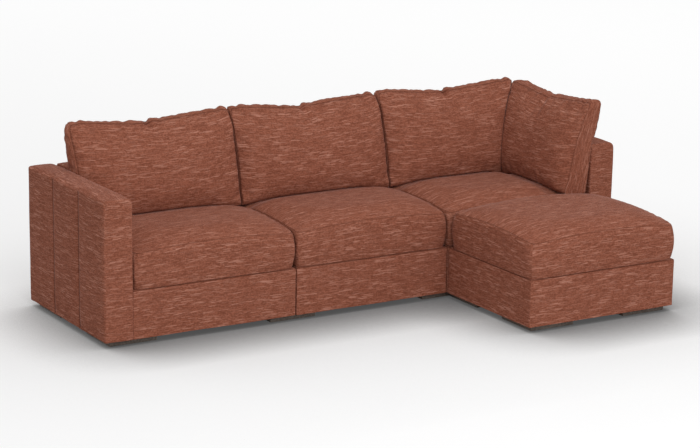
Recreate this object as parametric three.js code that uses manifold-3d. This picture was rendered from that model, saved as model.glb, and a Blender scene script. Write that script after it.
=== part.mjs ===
// Sectional sofa with chaise: loose cushions and pillows on clamped-together seat and side modules.
// Millimetres. In the row's own coordinates X runs along the row from the left arm's outer face,
// Y runs to the back from the front face of the seats, and Z is up from the floor.
// The finished group is moved so that its origin is the middle of its footprint, on the floor.

import * as THREE from 'three';
import { mergeVertices } from 'three/addons/utils/BufferGeometryUtils.js';
import { RoundedBoxGeometry } from 'three/addons/geometries/RoundedBoxGeometry.js';
import Module from 'manifold-3d';

const wasm = await Module();
wasm.setup();

// Module grid
const seatLength = 889;
const seatDepth = 737;
const sideThickness = 152;
const seatsInRow = 3;
const moduleGap = 4;
const deckHeight = 272;
const sideHeight = 714;
const sideCrown = 14;

// Clearances and cutting overrun
const clearance = 0.3;
const overrun = 20;
const weldTolerance = 0.001;

// Covers, which are cloth bonded to wadding
const coverThickness = 6;
const seatCoverRadius = 12;
const seatCoverSegments = 2;
const sideRoundRadius = 30;
const sideWeltRadius = 10;
const sideEndRadius = 9;
const sideArcSegments = 4;
const sideEndSegments = 2;

// Feet, which are flat wooden blocks, and the steel coupler let into the top of each.
// A coupler's two studs stand in holes in the frames above it, so it ties two modules together.
const footSize = 254;
const footHeight = 30;
const footInset = 36;
const footSpacing = 6;
const footChamfer = 3;
const couplerSpan = 180;
const couplerWidth = 44;
const couplerThickness = 4;
const couplerMargin = 22;
const studRadius = 5;
const studHeight = 18;
const studSides = 8;

// Seat frames
const railThickness = 22;
const boardThickness = 22;
const boardDepth = 250;
const slatWidth = 60;
const slatCount = 2;
const strapWidth = 60;
const strapThickness = 3;
const strapsAcross = 4;
const strapsAlong = 6;

// Side frames
const sideRailWidth = 45;
const sideFoamThickness = 38;
const sideBays = 3;
const sideTiers = 2;

// Loose seat cushions
const cushionGap = 6;
const cushionBoxing = 176;
const cushionEdgeRise = 18;
const cushionCrown = 44;
const cushionDraw = 5;
const cushionCornerRound = 16;
const cushionCornerPower = 12;
const cushionCrownPower = 2.4;
const cushionCells = { across: 10, deep: 8, high: 3 };
const chaiseCushionBackGap = 14;

// Loose pillows that lean on the back and on the right arm
const pillowGap = 5;
const pillowHeight = 466;
const pillowEar = 28;
const pillowEarPower = 3;
const pillowDip = 14;
const pillowDipPlace = -0.08;
const pillowDipWidth = 0.32;
const pillowRidge = 9;
const pillowFootDepth = 146;
const pillowToe = 50;
const pillowToeHeight = 0.06;
const pillowLean = 130;
const pillowBackLean = 100;
const pillowCrown = 68;
const pillowCrownPower = 3;
const pillowFill = 0.42;
const pillowFillPower = 18;
const pillowCornerRound = 16;
const pillowCornerPower = 14;
const pillowCells = { across: 14, thick: 4, high: 12 };
const sidePillowReach = 12;

// Places worked out from the sizes above
const rowLength = seatsInRow * seatLength + 2 * sideThickness;
const armLength = seatDepth + sideThickness;
const hemHeight = footHeight + clearance;
const coverInset = moduleGap / 2;
const cavityInset = coverInset + coverThickness;
const frameInset = cavityInset + clearance;
const strapTop = deckHeight - coverThickness - clearance;
const seatFrameTop = strapTop - strapThickness - clearance;
const sideFrameTop = sideHeight - coverThickness - sideFoamThickness;
const sideTop = sideHeight + sideCrown;
const rightArmInnerFace = rowLength - sideThickness;
const chaiseLeft = rightArmInnerFace - seatLength;
const cushionBottom = deckHeight + clearance;
const pillowBase = cushionBottom + cushionBoxing + cushionEdgeRise;
const pillowRestRise = (sideTop - pillowBase) / pillowHeight;

const fabric = new THREE.MeshStandardMaterial({ color: '#8c5340', roughness: 0.95, metalness: 0 });
const footWood = new THREE.MeshStandardMaterial({ color: '#463c37', roughness: 0.6, metalness: 0 });
const frameWood = new THREE.MeshStandardMaterial({ color: '#b58e61', roughness: 0.75, metalness: 0 });
const webbing = new THREE.MeshStandardMaterial({ color: '#2b2a2a', roughness: 0.9, metalness: 0 });
const foam = new THREE.MeshStandardMaterial({ color: '#e9dfc6', roughness: 1, metalness: 0 });
const steel = new THREE.MeshStandardMaterial({ color: '#a9abad', roughness: 0.4, metalness: 1 });

// Solids

function toSolid(geometry) {
  const bare = geometry.clone();
  bare.deleteAttribute('normal');
  bare.deleteAttribute('uv');
  const welded = mergeVertices(bare, weldTolerance);
  return new wasm.Manifold(new wasm.Mesh({
    numProp: 3,
    vertProperties: new Float32Array(welded.attributes.position.array),
    triVerts: new Uint32Array(welded.index.array),
  }));
}

function toGeometry(solid) {
  const { vertProperties, triVerts } = solid.getMesh();
  const geometry = new THREE.BufferGeometry();
  geometry.setAttribute('position', new THREE.BufferAttribute(vertProperties, 3));
  geometry.setIndex(new THREE.BufferAttribute(triVerts, 1));
  geometry.computeVertexNormals();
  return geometry;
}

function block(low, high) {
  const geometry = new THREE.BoxGeometry(high[0] - low[0], high[1] - low[1], high[2] - low[2]);
  return geometry.translate((low[0] + high[0]) / 2, (low[1] + high[1]) / 2, (low[2] + high[2]) / 2);
}

function upright(radius, bottom, top) {
  const geometry = new THREE.CylinderGeometry(radius, radius, top - bottom, studSides);
  return geometry.rotateX(Math.PI / 2).translate(0, 0, (bottom + top) / 2);
}

function cut(solid, geometries) {
  return geometries.reduce((rest, geometry) => rest.subtract(toSolid(geometry)), solid);
}

function join(solid, geometries) {
  return geometries.reduce((whole, geometry) => whole.add(toSolid(geometry)), solid);
}

function node(parent, name, geometry, material) {
  const mesh = new THREE.Mesh(geometry, material);
  mesh.name = name;
  parent.add(mesh);
}

// Feet and couplers

const leftColumn = footInset + footSize / 2;
const frontLine = footInset + footSize / 2;
const backLine = armLength - footInset - footSize / 2;

function rowFootPlaces(y, line) {
  const columns = [leftColumn];
  for (let seam = 1; seam < seatsInRow; seam += 1) {
    columns.push(sideThickness + seam * seatLength);
  }
  columns.push(rowLength - leftColumn);
  return columns.map((x, index) => ({ name: `${line}_${index + 1}`, x, y }));
}

function chaiseFootPlaces() {
  const left = chaiseLeft + leftColumn;
  const right = rightArmInnerFace - leftColumn;
  const front = frontLine - seatDepth;
  const back = footInset - footSpacing - footSize / 2;
  return [
    { name: 'chaise_1', x: left, y: front },
    { name: 'chaise_2', x: right, y: front },
    { name: 'chaise_3', x: left, y: back },
    { name: 'chaise_4', x: right, y: back },
  ];
}

const footPlaces = [
  ...rowFootPlaces(frontLine, 'front'),
  ...rowFootPlaces(backLine, 'back'),
  ...chaiseFootPlaces(),
];

// A coupler lies along its foot's diagonal, so that its studs reach the modules on both sides of a joint.
function couplerSolid() {
  const halfLength = couplerSpan / 2 + couplerMargin;
  const low = footHeight - couplerThickness;
  const bar = block([-halfLength, -couplerWidth / 2, low], [halfLength, couplerWidth / 2, footHeight]);
  const studs = [-couplerSpan / 2, couplerSpan / 2].map((x) => upright(
    studRadius,
    low,
    hemHeight + studHeight,
  ).translate(x, 0, 0));
  const turned = [bar, ...studs].map((geometry) => geometry.rotateZ(Math.PI / 4));
  return join(toSolid(turned[0]), turned.slice(1));
}

function footSolid() {
  const half = footSize / 2;
  const outline = new THREE.Shape();
  outline.moveTo(-half, -half);
  outline.lineTo(half, -half);
  outline.lineTo(half, half);
  outline.lineTo(-half, half);
  const slab = new THREE.ExtrudeGeometry(outline, {
    depth: footHeight - 2 * footChamfer,
    bevelThickness: footChamfer,
    bevelSize: footChamfer,
    bevelOffset: -footChamfer,
    bevelSegments: 1,
  }).translate(0, 0, footChamfer);
  const pocket = block(
    [-couplerSpan / 2 - couplerMargin - clearance, -couplerWidth / 2 - clearance,
      footHeight - couplerThickness - clearance],
    [couplerSpan / 2 + couplerMargin + clearance, couplerWidth / 2 + clearance, footHeight + overrun],
  );
  return cut(toSolid(slab), [pocket.rotateZ(Math.PI / 4)]);
}

function addFeet(row) {
  for (const { name, x, y } of footPlaces) {
    const foot = new THREE.Group();
    foot.position.set(x, y, 0);
    node(foot, `foot_${name}`, toGeometry(footSolid()), footWood);
    node(foot, `coupler_${name}`, toGeometry(couplerSolid()), steel);
    row.add(foot);
  }
}

// Drills the holes for the couplers' studs in a solid that belongs to a placed module.
function drilled(solid, module) {
  module.updateMatrix();
  const toModule = module.matrix.clone().invert();
  const reach = couplerSpan / 2 * Math.cos(Math.PI / 4);
  const holes = footPlaces.flatMap(({ x, y }) => [-reach, reach].map((offset) => upright(
    studRadius + clearance,
    hemHeight - overrun,
    hemHeight + studHeight + clearance,
  ).translate(x + offset, y + offset, 0).applyMatrix4(toModule)));
  return toGeometry(cut(solid, holes));
}

// Seat modules: the same box serves the row's seats and the chaise.

function seatCoverGeometry() {
  const length = seatLength - moduleGap;
  const depth = seatDepth - moduleGap;
  const height = deckHeight - hemHeight + overrun;
  const outer = new RoundedBoxGeometry(length, depth, height, seatCoverSegments, seatCoverRadius)
    .translate(seatLength / 2, seatDepth / 2, deckHeight - height / 2);
  const cavity = block(
    [cavityInset, cavityInset, hemHeight - 2 * overrun],
    [seatLength - cavityInset, seatDepth - cavityInset, deckHeight - coverThickness],
  );
  const underHem = block(
    [-overrun, -overrun, hemHeight - 2 * overrun],
    [seatLength + overrun, seatDepth + overrun, hemHeight],
  );
  return toGeometry(cut(toSolid(outer), [cavity, underHem]));
}

function seatFrameSolid() {
  const right = seatLength - frameInset;
  const back = seatDepth - frameInset;
  const shell = block([frameInset, frameInset, hemHeight], [right, back, seatFrameTop]);
  const inside = block(
    [frameInset + railThickness, frameInset + railThickness, hemHeight - overrun],
    [right - railThickness, back - railThickness, seatFrameTop + overrun],
  );
  const boardTop = hemHeight + boardThickness;
  const boards = [
    block([frameInset, frameInset, hemHeight], [right, frameInset + boardDepth, boardTop]),
    block([frameInset, back - boardDepth, hemHeight], [right, back, boardTop]),
  ];
  const bay = (right - frameInset) / (slatCount + 1);
  const slats = Array.from({ length: slatCount }, (_, index) => {
    const middle = frameInset + bay * (index + 1);
    return block(
      [middle - slatWidth / 2, frameInset, hemHeight],
      [middle + slatWidth / 2, back, boardTop],
    );
  });
  return join(cut(toSolid(shell), [inside]), [...boards, ...slats]);
}

// Straps woven both ways and stapled to the rails, taken as one flat lattice.
function webbingGeometry() {
  const low = [frameInset, frameInset, strapTop - strapThickness];
  const high = [seatLength - frameInset, seatDepth - frameInset, strapTop];
  const pitchAlong = (high[0] - low[0] - strapWidth) / (strapsAlong - 1);
  const pitchAcross = (high[1] - low[1] - strapWidth) / (strapsAcross - 1);
  const openings = [];
  for (let along = 0; along < strapsAlong - 1; along += 1) {
    for (let across = 0; across < strapsAcross - 1; across += 1) {
      const x = low[0] + strapWidth + along * pitchAlong;
      const y = low[1] + strapWidth + across * pitchAcross;
      openings.push(block(
        [x, y, low[2] - overrun],
        [x + pitchAlong - strapWidth, y + pitchAcross - strapWidth, high[2] + overrun],
      ));
    }
  }
  return toGeometry(cut(toSolid(block(low, high)), openings));
}

function seatModule(name, x, y) {
  const module = new THREE.Group();
  module.position.set(x, y, 0);
  node(module, `${name}_frame`, drilled(seatFrameSolid(), module), frameWood);
  node(module, `${name}_webbing`, webbingGeometry(), webbing);
  node(module, `${name}_cover`, seatCoverGeometry(), fabric);
  return module;
}

// Side modules: built along X with the inner face at Y = 0, then turned into place.
// The cover's long top edges differ: one is a welted, nearly square edge and the other is rounded.

function sideProfile(inset, bottom, weltOutside) {
  const inner = coverInset + inset;
  const outer = sideThickness - coverInset - inset;
  const top = sideHeight - inset;
  const rounded = Math.max(sideRoundRadius - inset, clearance);
  const welted = Math.max(sideWeltRadius - inset, clearance);
  const outerRadius = weltOutside ? welted : rounded;
  const innerRadius = weltOutside ? rounded : welted;
  const profile = new THREE.Shape();
  profile.moveTo(inner, bottom);
  profile.lineTo(outer, bottom);
  profile.lineTo(outer, top - outerRadius);
  profile.absarc(outer - outerRadius, top - outerRadius, outerRadius, 0, Math.PI / 2);
  const crest = (inner + innerRadius + outer - outerRadius) / 2;
  profile.quadraticCurveTo(crest, top + 2 * sideCrown, inner + innerRadius, top);
  profile.absarc(inner + innerRadius, top - innerRadius, innerRadius, Math.PI / 2, Math.PI);
  profile.lineTo(inner, bottom);
  return profile;
}

function sideExtrusion(profile, start, end, endRadius) {
  const along = new THREE.Matrix4().makeBasis(
    new THREE.Vector3(0, 1, 0),
    new THREE.Vector3(0, 0, 1),
    new THREE.Vector3(1, 0, 0),
  );
  return new THREE.ExtrudeGeometry(profile, {
    depth: end - start - 2 * endRadius,
    curveSegments: sideArcSegments,
    bevelEnabled: endRadius > 0,
    bevelThickness: endRadius,
    bevelSize: endRadius,
    bevelOffset: -endRadius,
    bevelSegments: sideEndSegments,
  }).applyMatrix4(along).translate(start + endRadius, 0, 0);
}

function sideCoverGeometry(length, weltOutside) {
  const outer = sideExtrusion(
    sideProfile(0, hemHeight - overrun, weltOutside),
    coverInset,
    length - coverInset,
    sideEndRadius,
  );
  const cavity = sideExtrusion(
    sideProfile(coverThickness, hemHeight - 2 * overrun, weltOutside),
    cavityInset,
    length - cavityInset,
    0,
  );
  const underHem = block(
    [-overrun, -overrun, hemHeight - 2 * overrun],
    [length + overrun, sideThickness + overrun, hemHeight],
  );
  return toGeometry(cut(toSolid(outer), [cavity, underHem]));
}

function sideFrameSolid(length) {
  const low = [frameInset, frameInset, hemHeight];
  const high = [length - frameInset, sideThickness - frameInset, sideFrameTop];
  const bayPitch = (high[0] - low[0] - sideRailWidth) / sideBays;
  const tierPitch = (high[2] - low[2] - sideRailWidth) / sideTiers;
  const windows = [];
  for (let bay = 0; bay < sideBays; bay += 1) {
    for (let tier = 0; tier < sideTiers; tier += 1) {
      const left = low[0] + sideRailWidth + bay * bayPitch;
      const sill = low[2] + sideRailWidth + tier * tierPitch;
      windows.push(block(
        [left, -overrun, sill],
        [left + bayPitch - sideRailWidth, sideThickness + overrun, sill + tierPitch - sideRailWidth],
      ));
    }
  }
  return cut(toSolid(block(low, high)), windows);
}

function sideFoamGeometry(length, weltOutside) {
  const profile = sideProfile(coverThickness + clearance, sideFrameTop + clearance, weltOutside);
  return sideExtrusion(profile, frameInset, length - frameInset, 0);
}

function sideModule({ name, length, x, y, turn, weltOutside }) {
  const module = new THREE.Group();
  module.position.set(x, y, 0);
  module.rotation.z = turn;
  node(module, `${name}_frame`, drilled(sideFrameSolid(length), module), frameWood);
  node(module, `${name}_foam`, sideFoamGeometry(length, weltOutside), foam);
  node(module, `${name}_cover`, sideCoverGeometry(length, weltOutside), fabric);
  return module;
}

function sideModules() {
  const left = {
    name: 'left_arm', length: armLength, x: sideThickness, y: 0, turn: Math.PI / 2, weltOutside: true,
  };
  const right = {
    name: 'right_arm', length: armLength, x: rightArmInnerFace, y: armLength, turn: -Math.PI / 2,
    weltOutside: false,
  };
  const backs = Array.from({ length: seatsInRow }, (_, index) => ({
    name: `back_${index + 1}`, length: seatLength, x: sideThickness + index * seatLength, y: seatDepth,
    turn: 0, weltOutside: true,
  }));
  return [left, ...backs, right].map(sideModule);
}

// Crowds grid lines towards the edges, where a cushion curves most. Both ends stay in place.
function crowd(share) {
  return Math.sin(share * Math.PI / 2);
}

function dome(share, power) {
  return 1 - Math.abs(share) ** power;
}

// Seat cushions: boxed, crowned on top, with sides that draw in along both seams.
function cushionGeometry(width, depth) {
  const { across, deep, high } = cushionCells;
  const geometry = new THREE.BoxGeometry(1, 1, 1, across, deep, high);
  const { position } = geometry.attributes;
  for (let index = 0; index < position.count; index += 1) {
    const a = crowd(2 * position.getX(index));
    const b = crowd(2 * position.getY(index));
    const c = 2 * position.getZ(index);
    const corner = (a * b) ** cushionCornerPower;
    const seam = cushionDraw * c ** 2;
    const halfWidth = width / 2 - seam * dome(b, 2) - cushionCornerRound * corner;
    const halfDepth = depth / 2 - seam * dome(a, 2) - cushionCornerRound * corner;
    const edge = cushionBoxing + cushionEdgeRise * (1 - (a * b) ** 2);
    const top = edge + cushionCrown * dome(a, cushionCrownPower) * dome(b, cushionCrownPower);
    position.setXYZ(index, a * halfWidth, b * halfDepth, top * (c + 1) / 2);
  }
  return geometry;
}

function placedCushion(x, front, back) {
  const width = seatLength - cushionGap;
  return cushionGeometry(width, back - front).translate(x, (front + back) / 2, cushionBottom);
}

// Pillows: a flat back, a crowned front that stays full up to its ends, ears at the top corners and a
// gusset that is thick at the foot and thin at the top. The form is centred on X, its back is towards +Y
// and Y = 0 is the side's inner face. The back leans on the side's top edge, so its foot stands forward
// of that face and its top reaches over the side.
function pillowDepthRange(rise) {
  const front = pillowLean * rise ** 2 - pillowFootDepth - pillowToe * Math.exp(-rise / pillowToeHeight);
  return { front, back: pillowBackLean * (rise - pillowRestRise) - clearance };
}

function pillowTop(a, b) {
  const dip = pillowDip * Math.exp(-(((a - pillowDipPlace) / pillowDipWidth) ** 2));
  return pillowHeight + pillowEar * Math.abs(a) ** pillowEarPower + pillowRidge * dome(b, 2) - dip;
}

function pillowGeometry(width) {
  const { across, thick, high } = pillowCells;
  const geometry = new THREE.BoxGeometry(1, 1, 1, across, thick, high);
  const { position } = geometry.attributes;
  for (let index = 0; index < position.count; index += 1) {
    const a = crowd(2 * position.getX(index));
    const b = 2 * position.getY(index);
    const c = 2 * position.getZ(index);
    const rise = (c + 1) / 2;
    const { front, back } = pillowDepthRange(rise);
    const full = pillowFill * dome(a, pillowFillPower) + (1 - pillowFill) * dome(a, pillowCrownPower);
    const crown = pillowCrown * Math.max(-b, 0) * full * dome(c, 4);
    const y = front + (back - front) * (b + 1) / 2 - crown;
    const corner = pillowCornerRound * Math.abs(a * rise) ** pillowCornerPower;
    const z = pillowBase + rise * pillowTop(a, b) - corner;
    position.setXYZ(index, a * (width / 2 - corner), y, z);
  }
  return geometry;
}

// Everything on one side of the corner's mitre, which is an upright plane at 45 degrees.
function beyondMitre(turn) {
  const size = 4 * seatLength;
  return new THREE.BoxGeometry(size, size, size)
    .translate((size - pillowGap) / 2, 0, 0)
    .rotateZ(turn)
    .translate(rightArmInnerFace, seatDepth, 0);
}

function addCushions(row) {
  for (let seat = 1; seat <= seatsInRow; seat += 1) {
    const middle = sideThickness + (seat - 1 / 2) * seatLength;
    const cushion = placedCushion(middle, cushionGap / 2, seatDepth - cushionGap / 2);
    node(row, `seat_cushion_${seat}`, cushion, fabric);
    const raised = cushion.clone().translate(0, 0, clearance);
    const pillow = pillowGeometry(seatLength - pillowGap).translate(middle, seatDepth, 0);
    const cutters = seat === seatsInRow ? [raised, beyondMitre(-Math.PI / 4)] : [raised];
    node(row, `back_pillow_${seat}`, toGeometry(cut(toSolid(pillow), cutters)), fabric);
    if (seat === seatsInRow) {
      const front = -sidePillowReach;
      const sidePillow = pillowGeometry(seatDepth - front).rotateZ(-Math.PI / 2)
        .translate(rightArmInnerFace, (front + seatDepth) / 2, 0);
      const leaning = cut(toSolid(sidePillow), [raised, beyondMitre(3 * Math.PI / 4)]);
      node(row, 'side_pillow', toGeometry(leaning), fabric);
    }
  }
  const chaiseMiddle = chaiseLeft + seatLength / 2;
  const chaiseCushion = placedCushion(chaiseMiddle, cushionGap / 2 - seatDepth, -chaiseCushionBackGap);
  node(row, 'chaise_cushion', chaiseCushion, fabric);
}

const row = new THREE.Group();
addFeet(row);
for (let seat = 1; seat <= seatsInRow; seat += 1) {
  row.add(seatModule(`seat_${seat}`, sideThickness + (seat - 1) * seatLength, 0));
}
row.add(seatModule('chaise', chaiseLeft, -seatDepth));
for (const module of sideModules()) {
  row.add(module);
}
addCushions(row);
row.position.set(-rowLength / 2, -sideThickness / 2, 0);

const group = new THREE.Group();
group.add(row);

export default group;
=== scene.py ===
"""The looks of a modular sofa with a chaise: slub cloth, seams, stuffed cushions and wooden feet.

All lengths are in metres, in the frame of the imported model. Each cloth piece starts as a closed box of
panels, which is rounded, crowned and wrinkled, and takes the place of the plain solid that it stands for.
"""

import logging
import math
from collections.abc import Sequence
from dataclasses import dataclass, field
from enum import Enum

import bmesh
import bpy
import numpy as np
from mathutils import Matrix, Vector, noise
from mathutils.bvhtree import BVHTree


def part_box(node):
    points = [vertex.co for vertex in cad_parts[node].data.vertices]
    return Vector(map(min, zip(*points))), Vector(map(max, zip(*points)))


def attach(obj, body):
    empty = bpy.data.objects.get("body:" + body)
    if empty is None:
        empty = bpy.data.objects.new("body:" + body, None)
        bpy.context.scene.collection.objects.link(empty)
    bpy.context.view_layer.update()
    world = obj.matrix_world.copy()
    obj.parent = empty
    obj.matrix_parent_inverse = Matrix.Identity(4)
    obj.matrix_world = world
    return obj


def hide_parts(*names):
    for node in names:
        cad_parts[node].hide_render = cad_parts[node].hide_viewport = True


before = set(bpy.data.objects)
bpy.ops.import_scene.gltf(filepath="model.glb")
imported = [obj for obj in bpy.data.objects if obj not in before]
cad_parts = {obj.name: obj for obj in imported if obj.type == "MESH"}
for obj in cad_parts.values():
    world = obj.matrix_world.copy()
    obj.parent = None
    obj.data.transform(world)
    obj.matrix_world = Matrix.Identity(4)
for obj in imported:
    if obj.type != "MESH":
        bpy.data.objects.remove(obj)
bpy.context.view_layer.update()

ROOT_BODY = "modules"
PHOTO_WIDTH = 700
TINY = 1e-9
ON_EDGE = 1e-6

log = logging.getLogger("sofa")
Points = np.ndarray


class Grain(Enum):
    """Which way the slubs of the cloth run on the left and right panels of a piece."""

    LEVEL = "level"
    UPRIGHT = "upright"


class WeltSide(Enum):
    """Which long top edge of a side cover has the welt. The other one is rounded."""

    OUTSIDE = "outside"
    INSIDE = "inside"


class Axis(Enum):
    """The axes of the model."""

    X = 0
    Y = 1
    Z = 2


def linear(code: str) -> tuple[float, float, float, float]:
    """Turns a colour as it is seen on a screen into the linear colour that shaders use.

    Args:
        code: Six hexadecimal digits, red first.

    Returns:
        Red, green, blue and an alpha of one.
    """
    def channel(start: int) -> float:
        """One colour channel, with the screen's curve taken off."""
        value = int(code[start:start + 2], 16) / 255
        return value / 12.92 if value <= 0.04045 else ((value + 0.055) / 1.055) ** 2.4

    return channel(0), channel(2), channel(4), 1.0


@dataclass(frozen=True)
class Dashes:
    """Rows of dashes of uneven length and strength, as thick places in the weft make.

    The length is that of the longest dash, the thickness that of a row, few is the share of places that
    stay empty, and the seed moves the pattern. The shortest dash is a share of the longest, and each dash
    fades in over its lead and out over its tail.
    """

    length: float
    thickness: float
    few: float
    seed: float
    shortest: float = 0.45
    lead: float = 0.10
    tail: float = 0.16


class NodeTree:
    """Adds nodes to one shader tree and links them, so that a finish reads as a short recipe."""

    def __init__(self, tree: bpy.types.NodeTree) -> None:
        """Takes the tree that the nodes go to."""
        self.tree = tree

    def add(self, kind: str, **settings: object) -> bpy.types.Node:
        """Adds a node and sets its plain properties.

        Args:
            kind: The node's type name without its ShaderNode prefix.
            **settings: Properties of the node, such as its operation.

        Returns:
            The new node.
        """
        node = self.tree.nodes.new("ShaderNode" + kind)
        for name, value in settings.items():
            setattr(node, name, value)
        return node

    def join(self, source: object, target: bpy.types.NodeSocket) -> None:
        """Links a socket to another, or sets that one's plain value.

        Args:
            source: A socket, or the value.
            target: The input that takes it.
        """
        if isinstance(source, bpy.types.NodeSocket):
            self.tree.links.new(source, target)
        else:
            target.default_value = source

    def fill(self, node: bpy.types.Node, values: dict[str | int, object]) -> bpy.types.Node:
        """Links or sets inputs of a node.

        Args:
            node: The node.
            values: A socket or a value for each input, by its name or number.

        Returns:
            The node.
        """
        for key, value in values.items():
            self.join(value, node.inputs[key])
        return node

    def math(self, operation: str, *values: object) -> bpy.types.NodeSocket:
        """Adds a Math node.

        Args:
            operation: What it does.
            *values: Up to three sockets or values.

        Returns:
            Its result.
        """
        return self.fill(self.add("Math", operation=operation), dict(enumerate(values))).outputs[0]

    def remap(self, value: object, low: float, high: float, to_low: float = 0.0,
              to_high: float = 1.0) -> bpy.types.NodeSocket:
        """Maps a value smoothly from one range to another, and holds it inside the new range.

        Args:
            value: The value.
            low: Where the old range starts.
            high: Where the old range ends.
            to_low: What the start becomes.
            to_high: What the end becomes.

        Returns:
            The mapped value.
        """
        node = self.add("MapRange", interpolation_type="SMOOTHSTEP")
        return self.fill(node, dict(enumerate((value, low, high, to_low, to_high)))).outputs[0]

    def noise(self, vector: object, sizes: Sequence[float], detail: float = 1.0,
              dimensions: str = "2D") -> bpy.types.NodeSocket:
        """Noise whose blotches have the given sizes.

        Args:
            vector: The place, in metres.
            sizes: Length, width and height of a typical blotch, in metres.
            detail: How many finer layers of noise lie on it.
            dimensions: 2D on a cloth's own map, 3D through a solid.

        Returns:
            The socket with the noise, which lies around one half.
        """
        scaled = self.fill(self.add("Mapping"), {"Vector": vector, "Scale": [1 / size for size in sizes]})
        node = self.add("TexNoise", noise_dimensions=dimensions)
        self.fill(node, {"Vector": scaled.outputs[0], "Scale": 1.0, "Detail": detail})
        return node.outputs[0]

    def dashes(self, along: object, across: object, kind: Dashes) -> bpy.types.NodeSocket:
        """Rows of dashes.

        Args:
            along: The place along the threads, in metres.
            across: The place across them, in metres.
            kind: The size and the number of the dashes.

        Returns:
            The strength of the dash at each place, from 0 to 1.
        """
        rows = self.math("ADD", self.math("DIVIDE", across, kind.thickness), kind.seed)
        row = self.math("FLOOR", rows)
        start = self.fill(self.add("TexWhiteNoise", noise_dimensions="1D"), {"W": row})
        steps = self.math("MULTIPLY_ADD", start.outputs[0], 17.0, self.math("DIVIDE", along, kind.length))
        cell = self.fill(self.add("CombineXYZ"), {0: self.math("FLOOR", steps), 1: row})
        chance = self.fill(self.add("TexWhiteNoise", noise_dimensions="2D"), {"Vector": cell.outputs[0]})
        place = self.math("FRACT", steps)
        second_chance = self.math("FRACT", self.math("MULTIPLY", chance.outputs[0], 37.0))
        end = self.math("MULTIPLY_ADD", second_chance, 1 - kind.shortest, kind.shortest)
        body = self.math("MULTIPLY", self.remap(place, 0.0, kind.lead),
                         self.remap(self.math("SUBTRACT", end, place), 0.0, kind.tail))
        off_middle = self.math("ABSOLUTE", self.math("MULTIPLY_ADD", self.math("FRACT", rows), 2.0, -1.0))
        thread = self.math("SUBTRACT", 1.0, self.math("POWER", off_middle, 3.0))
        strength = self.math("POWER", self.remap(chance.outputs[0], kind.few, 1.0), 1.2)
        return self.math("MULTIPLY", strength, self.math("MULTIPLY", body, thread))

    def blend(self, factor: object, first: object, second: object, way: str = "MIX"
              ) -> bpy.types.NodeSocket:
        """Mixes two colours.

        Args:
            factor: The second colour's share.
            first: The first colour.
            second: The second colour.
            way: How they mix.

        Returns:
            The mixed colour.
        """
        node = self.add("Mix", data_type="RGBA", blend_type=way)
        return self.fill(node, {0: factor, 6: first, 7: second}).outputs[2]

    def raise_surface(self, surface: bpy.types.Node, height: object) -> None:
        """Gives a surface its relief.

        Args:
            surface: The shader.
            height: The height at each place, in metres.
        """
        relief = self.fill(self.add("Bump"), {"Distance": 1.0, "Height": height})
        self.join(relief.outputs[0], surface.inputs["Normal"])


def node_group(name: str, inputs: Sequence[tuple[str, str]], outputs: Sequence[tuple[str, str]]
               ) -> tuple[NodeTree, bpy.types.Node, bpy.types.Node]:
    """Starts a shader node group with named sockets.

    Args:
        name: The group's name.
        inputs: Name and kind (Float, Vector or Color) of each input.
        outputs: The same for each output.

    Returns:
        The tree to add nodes to, and its input and output nodes.
    """
    group = bpy.data.node_groups.new(name, "ShaderNodeTree")
    for direction, sockets in (("INPUT", inputs), ("OUTPUT", outputs)):
        for label, kind in sockets:
            group.interface.new_socket(label, in_out=direction, socket_type="NodeSocket" + kind)
    return NodeTree(group), group.nodes.new("NodeGroupInput"), group.nodes.new("NodeGroupOutput")


def new_material(name: str) -> tuple[bpy.types.Material, NodeTree, bpy.types.Node]:
    """Starts a material.

    Args:
        name: The material's name.

    Returns:
        The material, the tree to add nodes to, and its shader.
    """
    material = bpy.data.materials.new(name)
    material.use_nodes = True
    return material, NodeTree(material.node_tree), material.node_tree.nodes["Principled BSDF"]


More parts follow.
